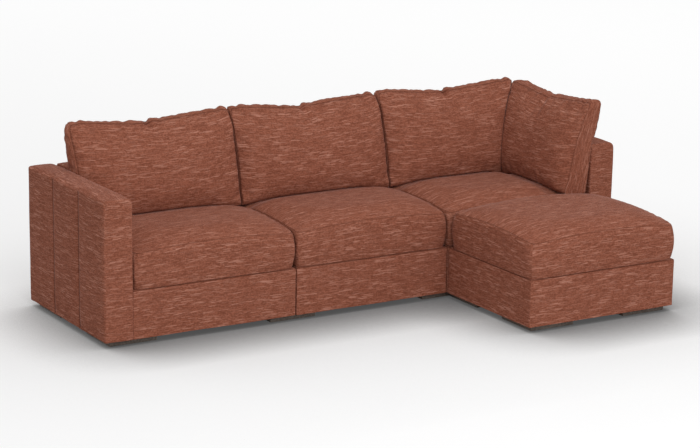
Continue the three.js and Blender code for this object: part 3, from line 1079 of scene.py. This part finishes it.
@dataclass
class SeatCushion:
    """A boxed seat cushion: a crowned top panel over a flat bottom, a boxing strip between them, and seams
    round the top.
    """

    node: str
    seed: int
    cell: float = 0.017
    boxing: float = 0.176
    edge_rise: float = 0.024
    rear_rise: float = 0.008
    crown: float = 0.044
    crown_power: float = 2.4
    draw: float = 0.001
    bulge: float = 0.004
    corner_round: float = 0.016
    room: tuple[tuple[float, float], tuple[float, float]] = ((0.0015, 0.0015), (0.008, 0.0015))
    loads: Sequence[tuple[Axis, float]] = ()
    load_sink: float = 0.020
    load_ramp: float = 0.090
    side_soft: float = 0.004
    top_room: float = 0.008
    top_soft: float = 0.010
    held_height: float = 0.02
    hold_reach: float = 0.010
    draw_reach: float = 0.009
    edge_lines: tuple[float, float] = (0.004, 0.010)
    padding: float = 0.85
    stuffing: Stuffing = Stuffing()
    sewing: Sewing = Sewing(depth=0.0034, reach=0.005, wave=0.040, ripple=0.0026)
    lumps: Lumps = Lumps(slow=0.0042, quick=0.0014, slow_size=0.23, quick_size=0.075, seam_reach=0.05,
                         seed_steps=(0, 5))

    def build(self, material: bpy.types.Material) -> bpy.types.Object:
        """Makes the cushion in the place of its plain solid.

        Args:
            material: The cloth.

        Returns:
            The cushion.
        """
        low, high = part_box(self.node)
        size = Vector((high.x - low.x, high.y - low.y, self.boxing))
        seams = box_edges(size, (Axis.X, Axis.Y), {Axis.Z: (size.z,)})
        lines = tuple(spaced(side, self.cell, self.edge_lines) for side in size)
        box = PanelBox(lines, seams, shift=(0.31 * self.seed, 0.47 * self.seed))
        piece = box.build(self.node + "_cloth")
        write_points(piece.data, self.crowned(box.points, size, Vector((low.x, low.y, low.z))))
        held = np.clip(1.2 - box.points[:, 2] / self.held_height, 0, 1)
        held = np.maximum(held, 0.9 * bell(box.distance, self.hold_reach))
        self.stuffing.swell(piece, held, bell(box.distance, self.draw_reach))
        self.press(piece, low, high)
        self.sewing.draw(piece, box, self.seed)
        self.lumps.press(piece, box, self.seed)
        self.carry(piece, low, high)
        self.press(piece, low, high)
        subdivide(piece)
        apply_modifiers(piece)
        finish_cloth(piece, material, self.node, [self.node])
        return piece

    def crowned(self, points: Points, size: Vector, corner: Vector) -> Points:
        """Shapes the box: sides drawn in at the seams, corners rounded, and a crown on top.

        Args:
            points: The box's points.
            size: The box's size.
            corner: Where its lowest corner goes.

        Returns:
            The shaped points.
        """
        a = 2 * points[:, 0] / size.x - 1
        b = 2 * points[:, 1] / size.y - 1
        rise = points[:, 2] / size.z
        c = 2 * rise - 1
        turn = self.corner_round * (a * b) ** 14 * (0.35 + 0.65 * c ** 2)
        seam = self.draw * c ** 2 - self.bulge * (1 - c ** 2)
        half_width = size.x / 2 - seam * (1 - b ** 10) - turn
        half_depth = size.y / 2 - seam * (1 - a ** 10) - turn
        edge = self.boxing + self.edge_rise * (1 - (a * b) ** 2) + self.rear_rise * ((b + 1) / 2) ** 2
        dome = (1 - np.abs(a) ** self.crown_power) * (1 - np.abs(b) ** self.crown_power)
        top = edge + self.crown * dome
        middle = corner + Vector((size.x / 2, size.y / 2, 0))
        columns = [middle.x + a * half_width, middle.y + b * half_depth, middle.z + top * rise]
        return np.stack(columns, axis=1)

    def carry(self, piece: bpy.types.Object, low: Vector, high: Vector) -> None:
        """Sinks the top where pillows stand on it, near the cushion's far sides.

        Args:
            piece: The cushion, which is changed.
            low: Lowest corner of the plain solid.
            high: Its highest corner.
        """
        points = read_points(piece.data)
        whole = points[:, 2] - low.z
        for axis, reach in self.loads:
            place = points[:, axis.value] - (high[axis.value] - reach)
            share = np.clip(1 + place / self.load_ramp, 0, 1)
            sink = self.load_sink * share ** 2 * (3 - 2 * share)
            points[:, 2] -= sink * np.clip(whole / self.boxing, 0, 1)
        write_points(piece.data, points)

    def press(self, piece: bpy.types.Object, low: Vector, high: Vector) -> None:
        """Keeps the cushion off its neighbours and flat where it rests on the deck.

        Args:
            piece: The cushion, which is changed.
            low: Lowest corner of the plain solid.
            high: Its highest corner.
        """
        points = read_points(piece.data)
        for axis, (below, above) in enumerate(self.room):
            squeeze(points, axis, low[axis] - below, high[axis] + above, self.side_soft)
        points[:, 2] = np.maximum(points[:, 2], low.z)
        points[:, 2] = soft_below(points[:, 2], high.z + self.top_room, self.top_soft)
        write_points(piece.data, points)


@dataclass(frozen=True)
class LooseWrinkle:
    """A fold across the top of a pillow, from its gusset down on to the front."""

    share: float
    depth: float
    width: float
    drop: float
    slant: float


@dataclass
class LeaningPillow:
    """A pillow with a gusset between a crowned front and a flatter back. It stands and leans back."""

    node: str
    seed: int
    turn: float = 0.0
    width: float = 0.889
    height: float = 0.466
    cell: float = 0.0150
    foot_depth: float = 0.146
    toe: float = 0.068
    toe_share: float = 0.07
    tuck: float = 0.048
    tuck_share: float = 0.075
    edge_power: float = 11.0
    lean: float = 0.130
    overhang: float = 0.034
    foot_gap: float = 0.028
    rest_share: float = 0.50
    gusset: float = 0.122
    ear: float = 0.028
    ear_power: float = 3.0
    dip: float = 0.014
    front_crown: float = 0.064
    fill: float = 0.42
    back_crown: float = 0.008
    ridge_crown: float = 0.009
    end_crown: float = 0.006
    flare: float = 0.010
    flare_start: float = 0.55
    corner_round: float = 0.020
    rest_margin: float = 0.030
    gap: float = 0.0025
    press_soft: float = 0.006
    mitre_gap: float = 0.001
    mitre_soft: float = 0.005
    foot_zone: float = 0.09
    foot_clear: float = 0.001
    probe: float = 0.2
    held_height: float = 0.03
    held_back: float = 0.02
    draw_reach: float = 0.010
    padding: float = 0.6
    edge_lines: tuple[float, float] = (0.004, 0.012)
    gusset_lines: tuple[float] = (0.005,)
    stuffing: Stuffing = Stuffing(slack=0.03, tuck=0.03)
    sewing: Sewing = Sewing(depth=0.0040, reach=0.006, wave=0.040, ripple=0.0060)
    lumps: Lumps = Lumps(slow=0.0055, quick=0.0016, slow_size=0.19, quick_size=0.055, seam_reach=0.03,
                         seed_steps=(2, 9), quick_fades=False, squash=0.7)
    wrinkles: Sequence[LooseWrinkle] = (
        LooseWrinkle(share=-0.03, depth=0.018, width=0.011, drop=0.075, slant=0.55),
        LooseWrinkle(share=-0.29, depth=0.007, width=0.008, drop=0.045, slant=0.20),
        LooseWrinkle(share=0.84, depth=0.010, width=0.011, drop=0.050, slant=-0.30),
        LooseWrinkle(share=-0.88, depth=0.009, width=0.010, drop=0.045, slant=0.30),
    )

    def build(self, material: bpy.types.Material, support: BVHTree, back_face: float, side_top: float,
              centre: float, base: float, corner: Vector | None, low_side: float, high_side: float
              ) -> bpy.types.Object:
        """Makes the pillow, leaning on the face behind it and standing on the cushion under it.

        Args:
            material: The cloth.
            support: The surface of the cushion that it stands on.
            back_face: Place of the face that it leans on, along the pillow's own depth.
            side_top: Height of the side module behind it.
            centre: Middle of the pillow along its width, in the frame.
            base: Height of its underside.
            corner: The inner corner of the sofa, where this pillow meets another on a mitre.
            low_side: How far the pillow may reach to its lower X side, from its centre.
            high_side: How far it may reach to its higher X side.

        Returns:
            The pillow.
        """
        size = Vector((self.width, self.gusset, self.height))
        seams = box_edges(size, (Axis.X, Axis.Z))
        lines = (spaced(size.x, self.cell, self.edge_lines), spaced(size.y, self.cell, self.gusset_lines),
                 spaced(size.z, self.cell, self.edge_lines))
        box = PanelBox(lines, seams, Grain.UPRIGHT, (0.23 * self.seed, 0.59 * self.seed))
        piece = box.build(self.node + "_cloth")
        write_points(piece.data, self.formed(box.points, size))
        c = box.points[:, 2] / size.z
        held = np.where(box.points[:, 1] > size.y - self.held_back, np.clip(1.2 - c, 0, 0.9), 0)
        held = np.maximum(held, np.clip(1 - c / self.held_height, 0, 1))
        seam = bell(box.distance, self.draw_reach)
        self.stuffing.swell(piece, np.maximum(held, 0.8 * seam), seam)
        self.fold(piece, box, size)
        self.sewing.draw(piece, box, self.seed)
        self.lumps.press(piece, box, self.seed)
        self.lean_back(piece, side_top - base)
        self.crowd(piece, low_side, high_side)
        self.place(piece, centre, back_face, base)
        self.meet(piece, corner)
        self.stand(piece, support)
        subdivide(piece)
        apply_modifiers(piece)
        self.stand(piece, support)
        finish_cloth(piece, material, self.node, [self.node])
        return piece

    def formed(self, points: Points, size: Vector) -> Points:
        """Shapes the box: crowned faces, ends that draw in, ears at the top corners and a backward bend.

        Args:
            points: The box's points.
            size: The box's size.

        Returns:
            The shaped points, centred on X, with the base at a height of zero.
        """
        a = 2 * points[:, 0] / size.x - 1
        b = 2 * points[:, 1] / size.y - 1
        rise = points[:, 2] / size.z
        c = 2 * rise - 1
        front = self.lean * rise ** 2 - self.foot_depth - self.toe * np.exp(-rise / self.toe_share)
        front += self.tuck * np.clip(1 - rise / self.tuck_share, 0, 1) ** 2
        over = np.clip((rise - self.rest_share) / (1 - self.rest_share), 0, 1)
        under = np.clip(1 - rise / self.rest_share, 0, 1)
        back = self.overhang * over ** 0.8 - self.foot_gap * under - self.gap
        full = self.fill * (1 - np.abs(a) ** self.edge_power) + (1 - self.fill) * (1 - np.abs(a) ** 3)
        swell = full * (1 - c ** 4)
        crown = np.where(b < 0, -b * self.front_crown, -b * self.back_crown)
        y = front + (b + 1) / 2 * (back - front) - crown * swell
        fan = self.flare * np.maximum(rise - self.flare_start, 0)
        half_width = size.x / 2 + fan + self.end_crown * (1 - b ** 2) * (1 - c ** 6)
        ridge = self.ridge_crown * (1 - b ** 2) * rise ** 6
        sag = self.dip * bell(a + 0.08, 0.32) * rise ** 3
        z = rise * (size.z + self.ear * np.abs(a) ** self.ear_power) + ridge - sag
        corner = self.corner_round * (np.abs(a) * rise) ** 14
        return np.stack([a * (half_width - corner), y, z - corner], axis=1)

    def fold(self, piece: bpy.types.Object, box: PanelBox, size: Vector) -> None:
        """Presses the folds into the pillow's top and the upper part of its front.

        Args:
            piece: The shaped pillow, which is changed.
            box: The box that it was shaped from.
            size: The box's size.
        """
        x, y, z = box.points.T
        below = size.z - z
        front_reach = np.where((y < ON_EDGE) | (below < ON_EDGE), 1.0, 0.45)
        offset = np.zeros(len(x))
        for wrinkle in self.wrinkles:
            line = (wrinkle.share + 1) / 2 * size.x + wrinkle.slant * below + 0.1 * (y - size.y / 2)
            across = x - line
            valley = bell(across, wrinkle.width)
            hill = bell(across - 2.2 * wrinkle.width, 1.6 * wrinkle.width)
            offset += wrinkle.depth * bell(below, wrinkle.drop) * front_reach * (0.45 * hill - valley)
        push_out(piece, offset)

    def lean_back(self, piece: bpy.types.Object, side_height: float) -> None:
        """Flattens the part of the back that leans on the side module.

        Args:
            piece: The pillow, which is changed.
            side_height: Height of the side module above the pillow's base.
        """
        points = read_points(piece.data)
        low_part = points[:, 2] < side_height + self.rest_margin
        limited = soft_below(points[:, 1], -self.gap, self.press_soft)
        points[:, 1] = np.where(low_part, limited, points[:, 1])
        write_points(piece.data, points)

    def crowd(self, piece: bpy.types.Object, low_side: float, high_side: float) -> None:
        """Presses the pillow's ends flat against its neighbours.

        Args:
            piece: The pillow, centred on X.
            low_side: Where the neighbour at the lower X begins.
            high_side: Where the neighbour at the higher X begins.
        """
        points = read_points(piece.data)
        squeeze(points, 0, low_side + self.gap, high_side - self.gap, self.press_soft)
        write_points(piece.data, points)

    def place(self, piece: bpy.types.Object, centre: float, back_face: float, base: float) -> None:
        """Turns the pillow about the vertical and moves it to its place in the frame.

        Args:
            piece: The pillow, which is changed.
            centre: Middle of the pillow along its width.
            back_face: Place of the face that it leans on.
            base: Height of its underside.
        """
        place = (back_face, centre, base) if self.turn else (centre, back_face, base)
        piece.data.transform(Matrix.Translation(place) @ Matrix.Rotation(self.turn, 4, "Z"))

    def meet(self, piece: bpy.types.Object, corner: Vector | None) -> None:
        """Presses the pillow flat against the upright mitre at the sofa's inner corner.

        Args:
            piece: The pillow, which is changed.
            corner: The inner corner, or None for a pillow that isn't there.
        """
        if corner is None:
            return
        points = read_points(piece.data)
        x = points[:, 0] - corner.x
        y = points[:, 1] - corner.y
        clear = self.mitre_gap * math.sqrt(2)
        if self.turn:
            points[:, 1] = corner.y + soft_below(y, x - clear, self.mitre_soft)
        else:
            points[:, 0] = corner.x + soft_below(x, y - clear, self.mitre_soft)
        write_points(piece.data, points)

    def stand(self, piece: bpy.types.Object, support: BVHTree) -> None:
        """Lifts the underside to just above the cushion that it stands on.

        Args:
            piece: The pillow, which is changed.
            support: The cushion's surface.
        """
        points = read_points(piece.data)
        low_part = np.flatnonzero(points[:, 2] < points[:, 2].min() + self.foot_zone)
        for index in low_part:
            x, y, z = points[index]
            above = Vector((x, y, z + self.probe))
            hit = support.ray_cast(above, Vector((0, 0, -1)), 2 * self.probe)[0]
            if hit is not None and z < hit.z + self.foot_clear:
                points[index, 2] = hit.z + self.foot_clear
        write_points(piece.data, points)


@dataclass
class SeatBox:
    """The fitted cover of a seat box: four upright panels and a deck, open below, with a turned hem."""

    name: str
    seed: int
    cell: float = 0.022
    round_radius: float = 0.007
    cloth: float = 0.005
    hem: float = 0.022
    arm_reach: tuple[float, float] = (0.0, 0.0)
    edge_lines: tuple[float, float] = (0.003, 0.010)
    sewing: Sewing = Sewing(depth=0.0015, reach=0.006, wave=0.045, ripple=0.0009)
    lumps: Lumps = Lumps(slow=0.0016, quick=0.00056, slow_size=0.26, quick_size=0.08, seam_reach=0.04,
                         seed_steps=(0, 3))

    def build(self, material: bpy.types.Material) -> bpy.types.Object:
        """Makes the cover in the place of its plain solid.

        Args:
            material: The cloth.

        Returns:
            The cover.
        """
        node = self.name + "_cover"
        low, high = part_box(node)
        low.x -= self.arm_reach[0]
        high.x += self.arm_reach[1]
        size = high - low
        seams = box_edges(size, (Axis.X, Axis.Y), {Axis.Z: (size.z,)})
        lines = (spaced(size.x, self.cell, self.edge_lines), spaced(size.y, self.cell, self.edge_lines),
                 spaced(size.z, self.cell, self.edge_lines, (self.hem,)))
        box = PanelBox(lines, seams, shift=(0.41 * self.seed, 0.29 * self.seed))
        piece = box.build(node + "_cloth")
        rounded = round_box(box.points, size, self.round_radius)
        write_points(piece.data, rounded + np.array(low))
        self.lumps.press(piece, box, self.seed)
        self.sewing.draw(piece, box, self.seed)
        open_below(piece, low.z, self.cloth)
        finish_cloth(piece, material, ROOT_BODY, [node])
        return piece


def round_box(points: Points, size: Vector, radius: float) -> Points:
    """Rounds the upright and the top edges of a box.

    Args:
        points: Points on the box.
        size: The box's size.
        radius: The radius of its edges.

    Returns:
        The moved points.
    """
    whole = np.array(size)
    lowest = np.array([radius, radius, 0.0])
    inner = np.clip(points, lowest, whole - radius)
    out = points - inner
    length = np.maximum(np.linalg.norm(out, axis=1, keepdims=True), TINY)
    return inner + out * np.minimum(1, radius / length)


def open_below(piece: bpy.types.Object, bottom: float, cloth: float) -> None:
    """Takes the underside off a cover, smooths it and gives the cloth its thickness inwards.

    Args:
        piece: The cover, which is changed.
        bottom: Height of its lower edge.
        cloth: Thickness of the cloth.
    """
    facing_down, hem_zone = -0.6, 0.03
    shape = bmesh.new()
    shape.from_mesh(piece.data)
    under = [face for face in shape.faces
             if face.normal.z < facing_down and face.calc_center_median().z < bottom + hem_zone]
    bmesh.ops.delete(shape, geom=under, context="FACES")
    shape.to_mesh(piece.data)
    shape.free()
    subdivide(piece)
    wall = piece.modifiers.new("Cloth thickness", "SOLIDIFY")
    wall.thickness = cloth
    wall.offset = -1
    apply_modifiers(piece)


@dataclass
class SideCover:
    """The cover of an arm or a back: two long faces in three panels each, a crowned top and a welt."""

    name: str
    seed: int
    along: Axis
    outward: float
    welt_side: WeltSide
    cell: float = 0.021
    panels: int = 3
    crown: float = 0.010
    crown_fade: float = 0.07
    round_radius: float = 0.026
    welt_radius: float = 0.008
    end_radius: float = 0.006
    proud: tuple[float, float] = (0.003, 0.0055)
    seam_lift: float = 0.0032
    cloth: float = 0.005
    welt_size: float = 0.0028
    welt_end: float = 0.014
    welt_dip: float = 0.004
    welt_waver: float = 0.0008
    welt_set: float = 0.30
    crown_start: float = 0.06
    inner_proud: float = -0.002
    step_fade: float = 0.02
    foot_fade: float = 0.05
    tail_width: float = 0.006
    tail_drop: float = 0.006
    tail_height: float = 0.02
    hem: float = 0.024
    end_lines: tuple[float, float] = (0.003, 0.009)
    edge_lines: tuple[float, ...] = (0.003, 0.008, 0.018, 0.030)
    sewing: Sewing = Sewing(depth=0.0062, reach=0.010, wave=0.046, ripple=0.0028)
    lumps: Lumps = Lumps(slow=0.0022, quick=0.00077, slow_size=0.26, quick_size=0.08, seam_reach=0.04,
                         seed_steps=(0, 3))

    def build(self, material: bpy.types.Material) -> bpy.types.Object:
        """Makes the cover, with its welt, in the place of its plain solid.

        Args:
            material: The cloth.

        Returns:
            The cover.
        """
        node = self.name + "_cover"
        low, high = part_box(node)
        length, thickness, height = self.own_size(low, high)
        size = Vector((length, thickness, height - self.crown))
        marks = [length * number / self.panels for number in range(1, self.panels)]
        lines = (spaced(size.x, self.cell, self.end_lines, marks),
                 spaced(size.y, self.cell, self.edge_lines),
                 spaced(size.z, self.cell, self.edge_lines, (self.hem,)))
        seams = box_edges(size, (Axis.X,), {Axis.Z: (size.z + self.seam_lift,)})
        seams += [Seam((mark, face, 0.0), (mark, face, size.z)) for mark in marks for face in (0.0, size.y)]
        box = PanelBox(lines, seams, shift=(0.53 * self.seed, 0.37 * self.seed))
        piece = box.build(node + "_cloth")
        write_points(piece.data, self.profiled(box.points, size))
        self.lumps.press(piece, box, self.seed)
        self.pull_panels(piece, box, marks)
        self.sewing.draw(piece, box, self.seed)
        self.turn_and_place(piece, low, high)
        open_below(piece, low.z, self.cloth)
        welt = self.add_welt(size)
        self.turn_and_place(welt, low, high)
        finish_cloth(piece, material, ROOT_BODY, [node])
        welt.data.materials.append(material)
        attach(welt, ROOT_BODY)
        return piece

    def edge_radius(self, outer: bool) -> float:
        """Radius of the outer or the inner long top edge."""
        welted = outer == (self.welt_side is WeltSide.OUTSIDE)
        return self.welt_radius if welted else self.round_radius

    def own_size(self, low: Vector, high: Vector) -> Vector:
        """Length, thickness and height of the cover, from the corners of its plain solid."""
        whole = high - low
        return whole if self.along is Axis.X else whole.yxz

    def profiled(self, points: Points, size: Vector) -> Points:
        """Rounds the long top edges and the ends, and crowns the top. The outer face is at the higher Y.

        Args:
            points: The box's points.
            size: The box's size.

        Returns:
            The shaped points.
        """
        x, y, z = points.T
        radius = np.where(y > size.y / 2, self.edge_radius(True), self.edge_radius(False))
        inner_y = np.clip(y, radius, size.y - radius)
        inner_z = np.minimum(z, size.z - radius)
        out = np.stack([y - inner_y, z - inner_z], axis=1)
        length = np.linalg.norm(out, axis=1)
        safe = np.maximum(length, TINY)
        keep = np.minimum(1, radius / safe)
        section_y = inner_y + out[:, 0] * keep
        section_z = inner_z + out[:, 1] * keep
        normal = out / safe[:, None]
        from_end = np.minimum(x, size.x - x)
        cap = from_end < ON_EDGE
        depth = np.clip(self.end_radius - from_end, 0, self.end_radius)
        inset = self.end_radius - np.sqrt(self.end_radius ** 2 - depth ** 2)
        outline_y = section_y - normal[:, 0] * inset
        outline_z = section_z - normal[:, 1] * inset
        scale_y = 1 - 2 * self.end_radius / size.y
        scale_z = 1 - self.end_radius / size.z
        new_y = np.where(cap, size.y / 2 + (section_y - size.y / 2) * scale_y, outline_y)
        new_z = np.where(cap, section_z * scale_z, outline_z)
        middle = 1 - np.abs(2 * new_y / size.y - 1) ** 4
        middle *= 1 - 0.6 * bell(from_end, self.crown_fade)
        near_top = np.clip((new_z - size.z + self.crown_start) / self.crown_start, 0, 1)
        lift = self.crown * middle * near_top
        return np.stack([x, new_y, new_z + lift], axis=1)

    def pull_panels(self, piece: bpy.types.Object, box: PanelBox, marks: Sequence[float]) -> None:
        """Lets the panels of the long faces stand a little proud, and the tails of their seams hang.

        Args:
            piece: The shaped cover, which is changed.
            box: The box that it was shaped from.
            marks: Places of the upright seams along the cover.
        """
        points = read_points(piece.data)
        x, _, z = box.points.T
        places = [0.0, *marks, points[:, 0].max()]
        bulge = np.zeros(len(points))
        for start, end in zip(places[:-1], places[1:]):
            share = np.clip((x - start) / (end - start), 0, 1)
            bulge += np.sin(math.pi * share) ** 0.7 * ((x >= start) & (x <= end))
        face = np.where(np.abs(rows_of(piece.data.vertex_normals, "vector")[:, 1]) > 0.8, 1.0, 0.0)
        side = np.sign(box.points[:, 1] - box.points[:, 1].max() / 2)
        step, swell = self.proud
        from_end = np.minimum(x, x.max() - x)
        outer = step * np.clip(from_end / self.step_fade, 0, 1) + swell * bulge
        proud = np.where(side > 0, outer, self.inner_proud * bulge)
        points[:, 1] += proud * face * np.clip(z / self.foot_fade, 0.4, 1)
        tails = sum(bell(x - mark, self.tail_width) for mark in marks)
        points[:, 2] -= self.tail_drop * tails * face * np.exp(-z / self.tail_height)
        write_points(piece.data, points)

    def add_welt(self, size: Vector) -> bpy.types.Object:
        """Makes the welt: a thin round roll of cloth along the welted top edge, with its ends down.

        Args:
            size: The size of the cover's box.

        Returns:
            The welt.
        """
        shape = bmesh.new()
        ring = bmesh.ops.create_circle(shape, segments=10, radius=self.welt_size)["verts"]
        edges = list({edge for vertex in ring for edge in vertex.link_edges})
        outer = self.welt_side is WeltSide.OUTSIDE
        inset = self.welt_set * self.welt_radius
        line_y = size.y - inset if outer else inset
        line_z = size.z - inset + 0.0005
        bmesh.ops.rotate(shape, verts=ring, cent=(0, 0, 0), matrix=Matrix.Rotation(math.pi / 2, 3, "Y"))
        start_place = (self.welt_end, line_y, line_z - self.welt_dip)
        bmesh.ops.translate(shape, verts=ring, vec=start_place)
        steps = round(size.x / self.cell)
        stride = (size.x - 2 * self.welt_end) / steps
        start = list(ring)
        for step in range(steps):
            grown = bmesh.ops.extrude_edge_only(shape, edges=edges)["geom"]
            ring = [item for item in grown if isinstance(item, bmesh.types.BMVert)]
            edges = [item for item in grown if isinstance(item, bmesh.types.BMEdge)]
            before = self.welt_waver * math.sin(1.7 * step + self.seed)
            after = self.welt_waver * math.sin(1.7 * (step + 1) + self.seed)
            climb = {0: self.welt_dip, steps - 1: -self.welt_dip}.get(step, 0.0)
            bmesh.ops.translate(shape, verts=ring, vec=(stride, after - before, climb))
        bmesh.ops.contextual_create(shape, geom=start)
        bmesh.ops.contextual_create(shape, geom=ring)
        bmesh.ops.recalc_face_normals(shape, faces=shape.faces)
        layer = shape.loops.layers.uv.new("cloth")
        for face in shape.faces:
            for loop in face.loops:
                loop[layer].uv = (loop.vert.co.x, loop.vert.co.y + loop.vert.co.z)
        welt = finished_piece(self.name + "_welt", shape)
        # A seam distance of one metre keeps the painted groove shade off the welt.
        attribute = welt.data.attributes.new("seam", "FLOAT", "POINT")
        attribute.data.foreach_set("value", np.full(len(welt.data.vertices), 1.0, np.float32))
        welt.data.shade_smooth()
        return welt

    def turn_and_place(self, piece: bpy.types.Object, low: Vector, high: Vector) -> None:
        """Turns a shape so that its outer face looks outwards, and moves it to the plain solid's place.

        Args:
            piece: The cover or its welt, which is changed.
            low: Lowest corner of the plain solid.
            high: Its highest corner.
        """
        middle = (low + high) / 2
        length, thickness, _ = self.own_size(low, high)
        move = Matrix.Translation((-length / 2, -thickness / 2, 0))
        angle = 0.0 if self.along is Axis.X else -self.outward * math.pi / 2
        place = Matrix.Translation((middle.x, middle.y, low.z))
        piece.data.transform(place @ Matrix.Rotation(angle, 4, "Z") @ move)


@dataclass
class HiddenParts:
    """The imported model's own nodes that stay as they are, each with the finish of its stuff."""

    grain: bpy.types.NodeTree

    def dress(self) -> None:
        """Gives feet, frames, webbing, foam and couplers their materials."""
        finishes = {
            "foot_": Wood("Dark stained wood", "4E443D", "6A5F57").material(self.grain),
            "coupler_": Mottled("Brushed steel", "8F9194", "B9BBBD", blotch=(0.001, 0.05, 0.001),
                                roughness=0.38, relief=2e-5, metallic=1.0).material(),
            "_frame": Wood("Bare pine", "A87B4A", "D8B483").material(self.grain),
            "_webbing": Mottled("Woven strap", "22201F", "4A4542", blotch=(0.0022, 0.0022, 0.004),
                                roughness=0.8, relief=0.0003).material(),
            "_foam": Mottled("Upholstery foam", "D8CDA8", "F0E8CC", blotch=(0.004, 0.004, 0.004),
                             roughness=0.95, relief=0.0006).material(),
        }
        for name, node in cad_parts.items():
            for part, material in finishes.items():
                if part in name:
                    node.data.materials.clear()
                    node.data.materials.append(material)


@dataclass
class Sofa:
    """The whole sofa: seat boxes, side covers, seat cushions and pillows."""

    seats: int = 3
    arm_reach: float = 0.0055
    free_inset: float = 0.004
    lift_room: float = 0.004
    pillow_foot: float = 0.190
    pillow_heights: tuple[float, ...] = (0.466, 0.469, 0.475)

    def build(self) -> None:
        """Builds every piece and reports it."""
        weave = slub_weave_group()
        seam = seam_group()
        # The fitted cloth paints darker shade into its seam grooves than the stuffed cloth.
        tight = SlubCloth("Rust slub cloth, fitted", seam_shade=0.85).material(weave, seam)
        cloth = SlubCloth("Rust slub cloth, stuffed").material(weave, seam)
        HiddenParts(wood_grain_group()).dress()
        names = [f"seat_{number}" for number in range(1, self.seats + 1)] + ["chaise"]
        for seed, name in enumerate(names, start=1):
            reach = (self.arm_reach * (seed == 1), self.arm_reach * (seed == self.seats))
            SeatBox(name, seed, arm_reach=reach).build(tight)
        self.build_sides(tight)
        cushions = self.build_cushions(cloth)
        self.build_pillows(cloth, cushions)

    def build_sides(self, cloth: bpy.types.Material) -> None:
        """Builds the covers of both arms and the backs.

        Args:
            cloth: The fitted cloth.
        """
        SideCover("left_arm", 11, Axis.Y, -1.0, WeltSide.OUTSIDE).build(cloth)
        SideCover("right_arm", 12, Axis.Y, 1.0, WeltSide.INSIDE).build(cloth)
        for number in range(1, self.seats + 1):
            SideCover(f"back_{number}", 12 + number, Axis.X, 1.0, WeltSide.OUTSIDE).build(cloth)

    def build_cushions(self, cloth: bpy.types.Material) -> dict[str, bpy.types.Object]:
        """Builds the seat cushions.

        Args:
            cloth: The stuffed cloth.

        Returns:
            The cushions, by the names of their nodes.
        """
        behind = (Axis.Y, self.pillow_foot)
        beside = (Axis.X, self.pillow_foot)
        row = [SeatCushion(f"seat_cushion_{number}", 20 + number,
                           loads=(behind, beside) if number == self.seats else (behind,))
               for number in range(1, self.seats + 1)]
        chaise = SeatCushion("chaise_cushion", 24, room=((0.008, 0.009), (0.008, 0.001)))
        return {cushion.node: cushion.build(cloth) for cushion in [*row, chaise]}

    def build_pillows(self, cloth: bpy.types.Material, cushions: dict[str, bpy.types.Object]) -> None:
        """Builds the back pillows and the one that leans on the right arm.

        Args:
            cloth: The stuffed cloth.
            cushions: The seat cushions, by the names of their nodes.
        """
        side_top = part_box("back_1_cover")[1].z
        back_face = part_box("back_1_cover")[0].y
        arm_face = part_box("right_arm_cover")[0].x
        corner = Vector((arm_face, back_face, 0))
        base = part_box("back_pillow_1")[0].z
        edges = [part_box("left_arm_cover")[1].x + self.free_inset]
        edges += [(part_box(f"seat_cushion_{number}")[1].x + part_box(f"seat_cushion_{number + 1}")[0].x) / 2
                  for number in range(1, self.seats)]
        edges.append(arm_face)
        for number, (start, end) in enumerate(zip(edges[:-1], edges[1:]), start=1):
            first, last = number == 1, number == self.seats
            half = (end - start) / 2
            free_end = {"flare": 0.038, "end_crown": 0.012} if first else {}
            pillow = LeaningPillow(f"back_pillow_{number}", 30 + number, width=end - start,
                                   height=self.pillow_heights[number - 1], **free_end)
            support = surface_of(cushions[f"seat_cushion_{number}"])
            pillow.build(cloth, support, back_face, side_top, (start + end) / 2, base,
                         corner if last else None, -2 * half if first else -half, half)
        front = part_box("chaise_cushion")[1].y + self.lift_room
        half = (back_face - front) / 2
        pillow = LeaningPillow("side_pillow", 34, turn=-math.pi / 2, width=2 * half, overhang=0.060,
                               end_crown=0.002)
        pillow.build(cloth, support, arm_face, side_top, (front + back_face) / 2, base, corner,
                     -half, half)


def surface_of(piece: bpy.types.Object) -> BVHTree:
    """Takes a piece's surface.

    Args:
        piece: The piece.

    Returns:
        The surface, ready for rays.
    """
    shape = bmesh.new()
    shape.from_mesh(piece.data)
    tree = BVHTree.FromBMesh(shape)
    shape.free()
    return tree


def main() -> None:
    """Builds the studio and the sofa."""
    logging.basicConfig(level=logging.INFO, format="%(name)s %(message)s")
    Studio().build()
    Sofa().build()


if __name__ == "__main__":
    main()
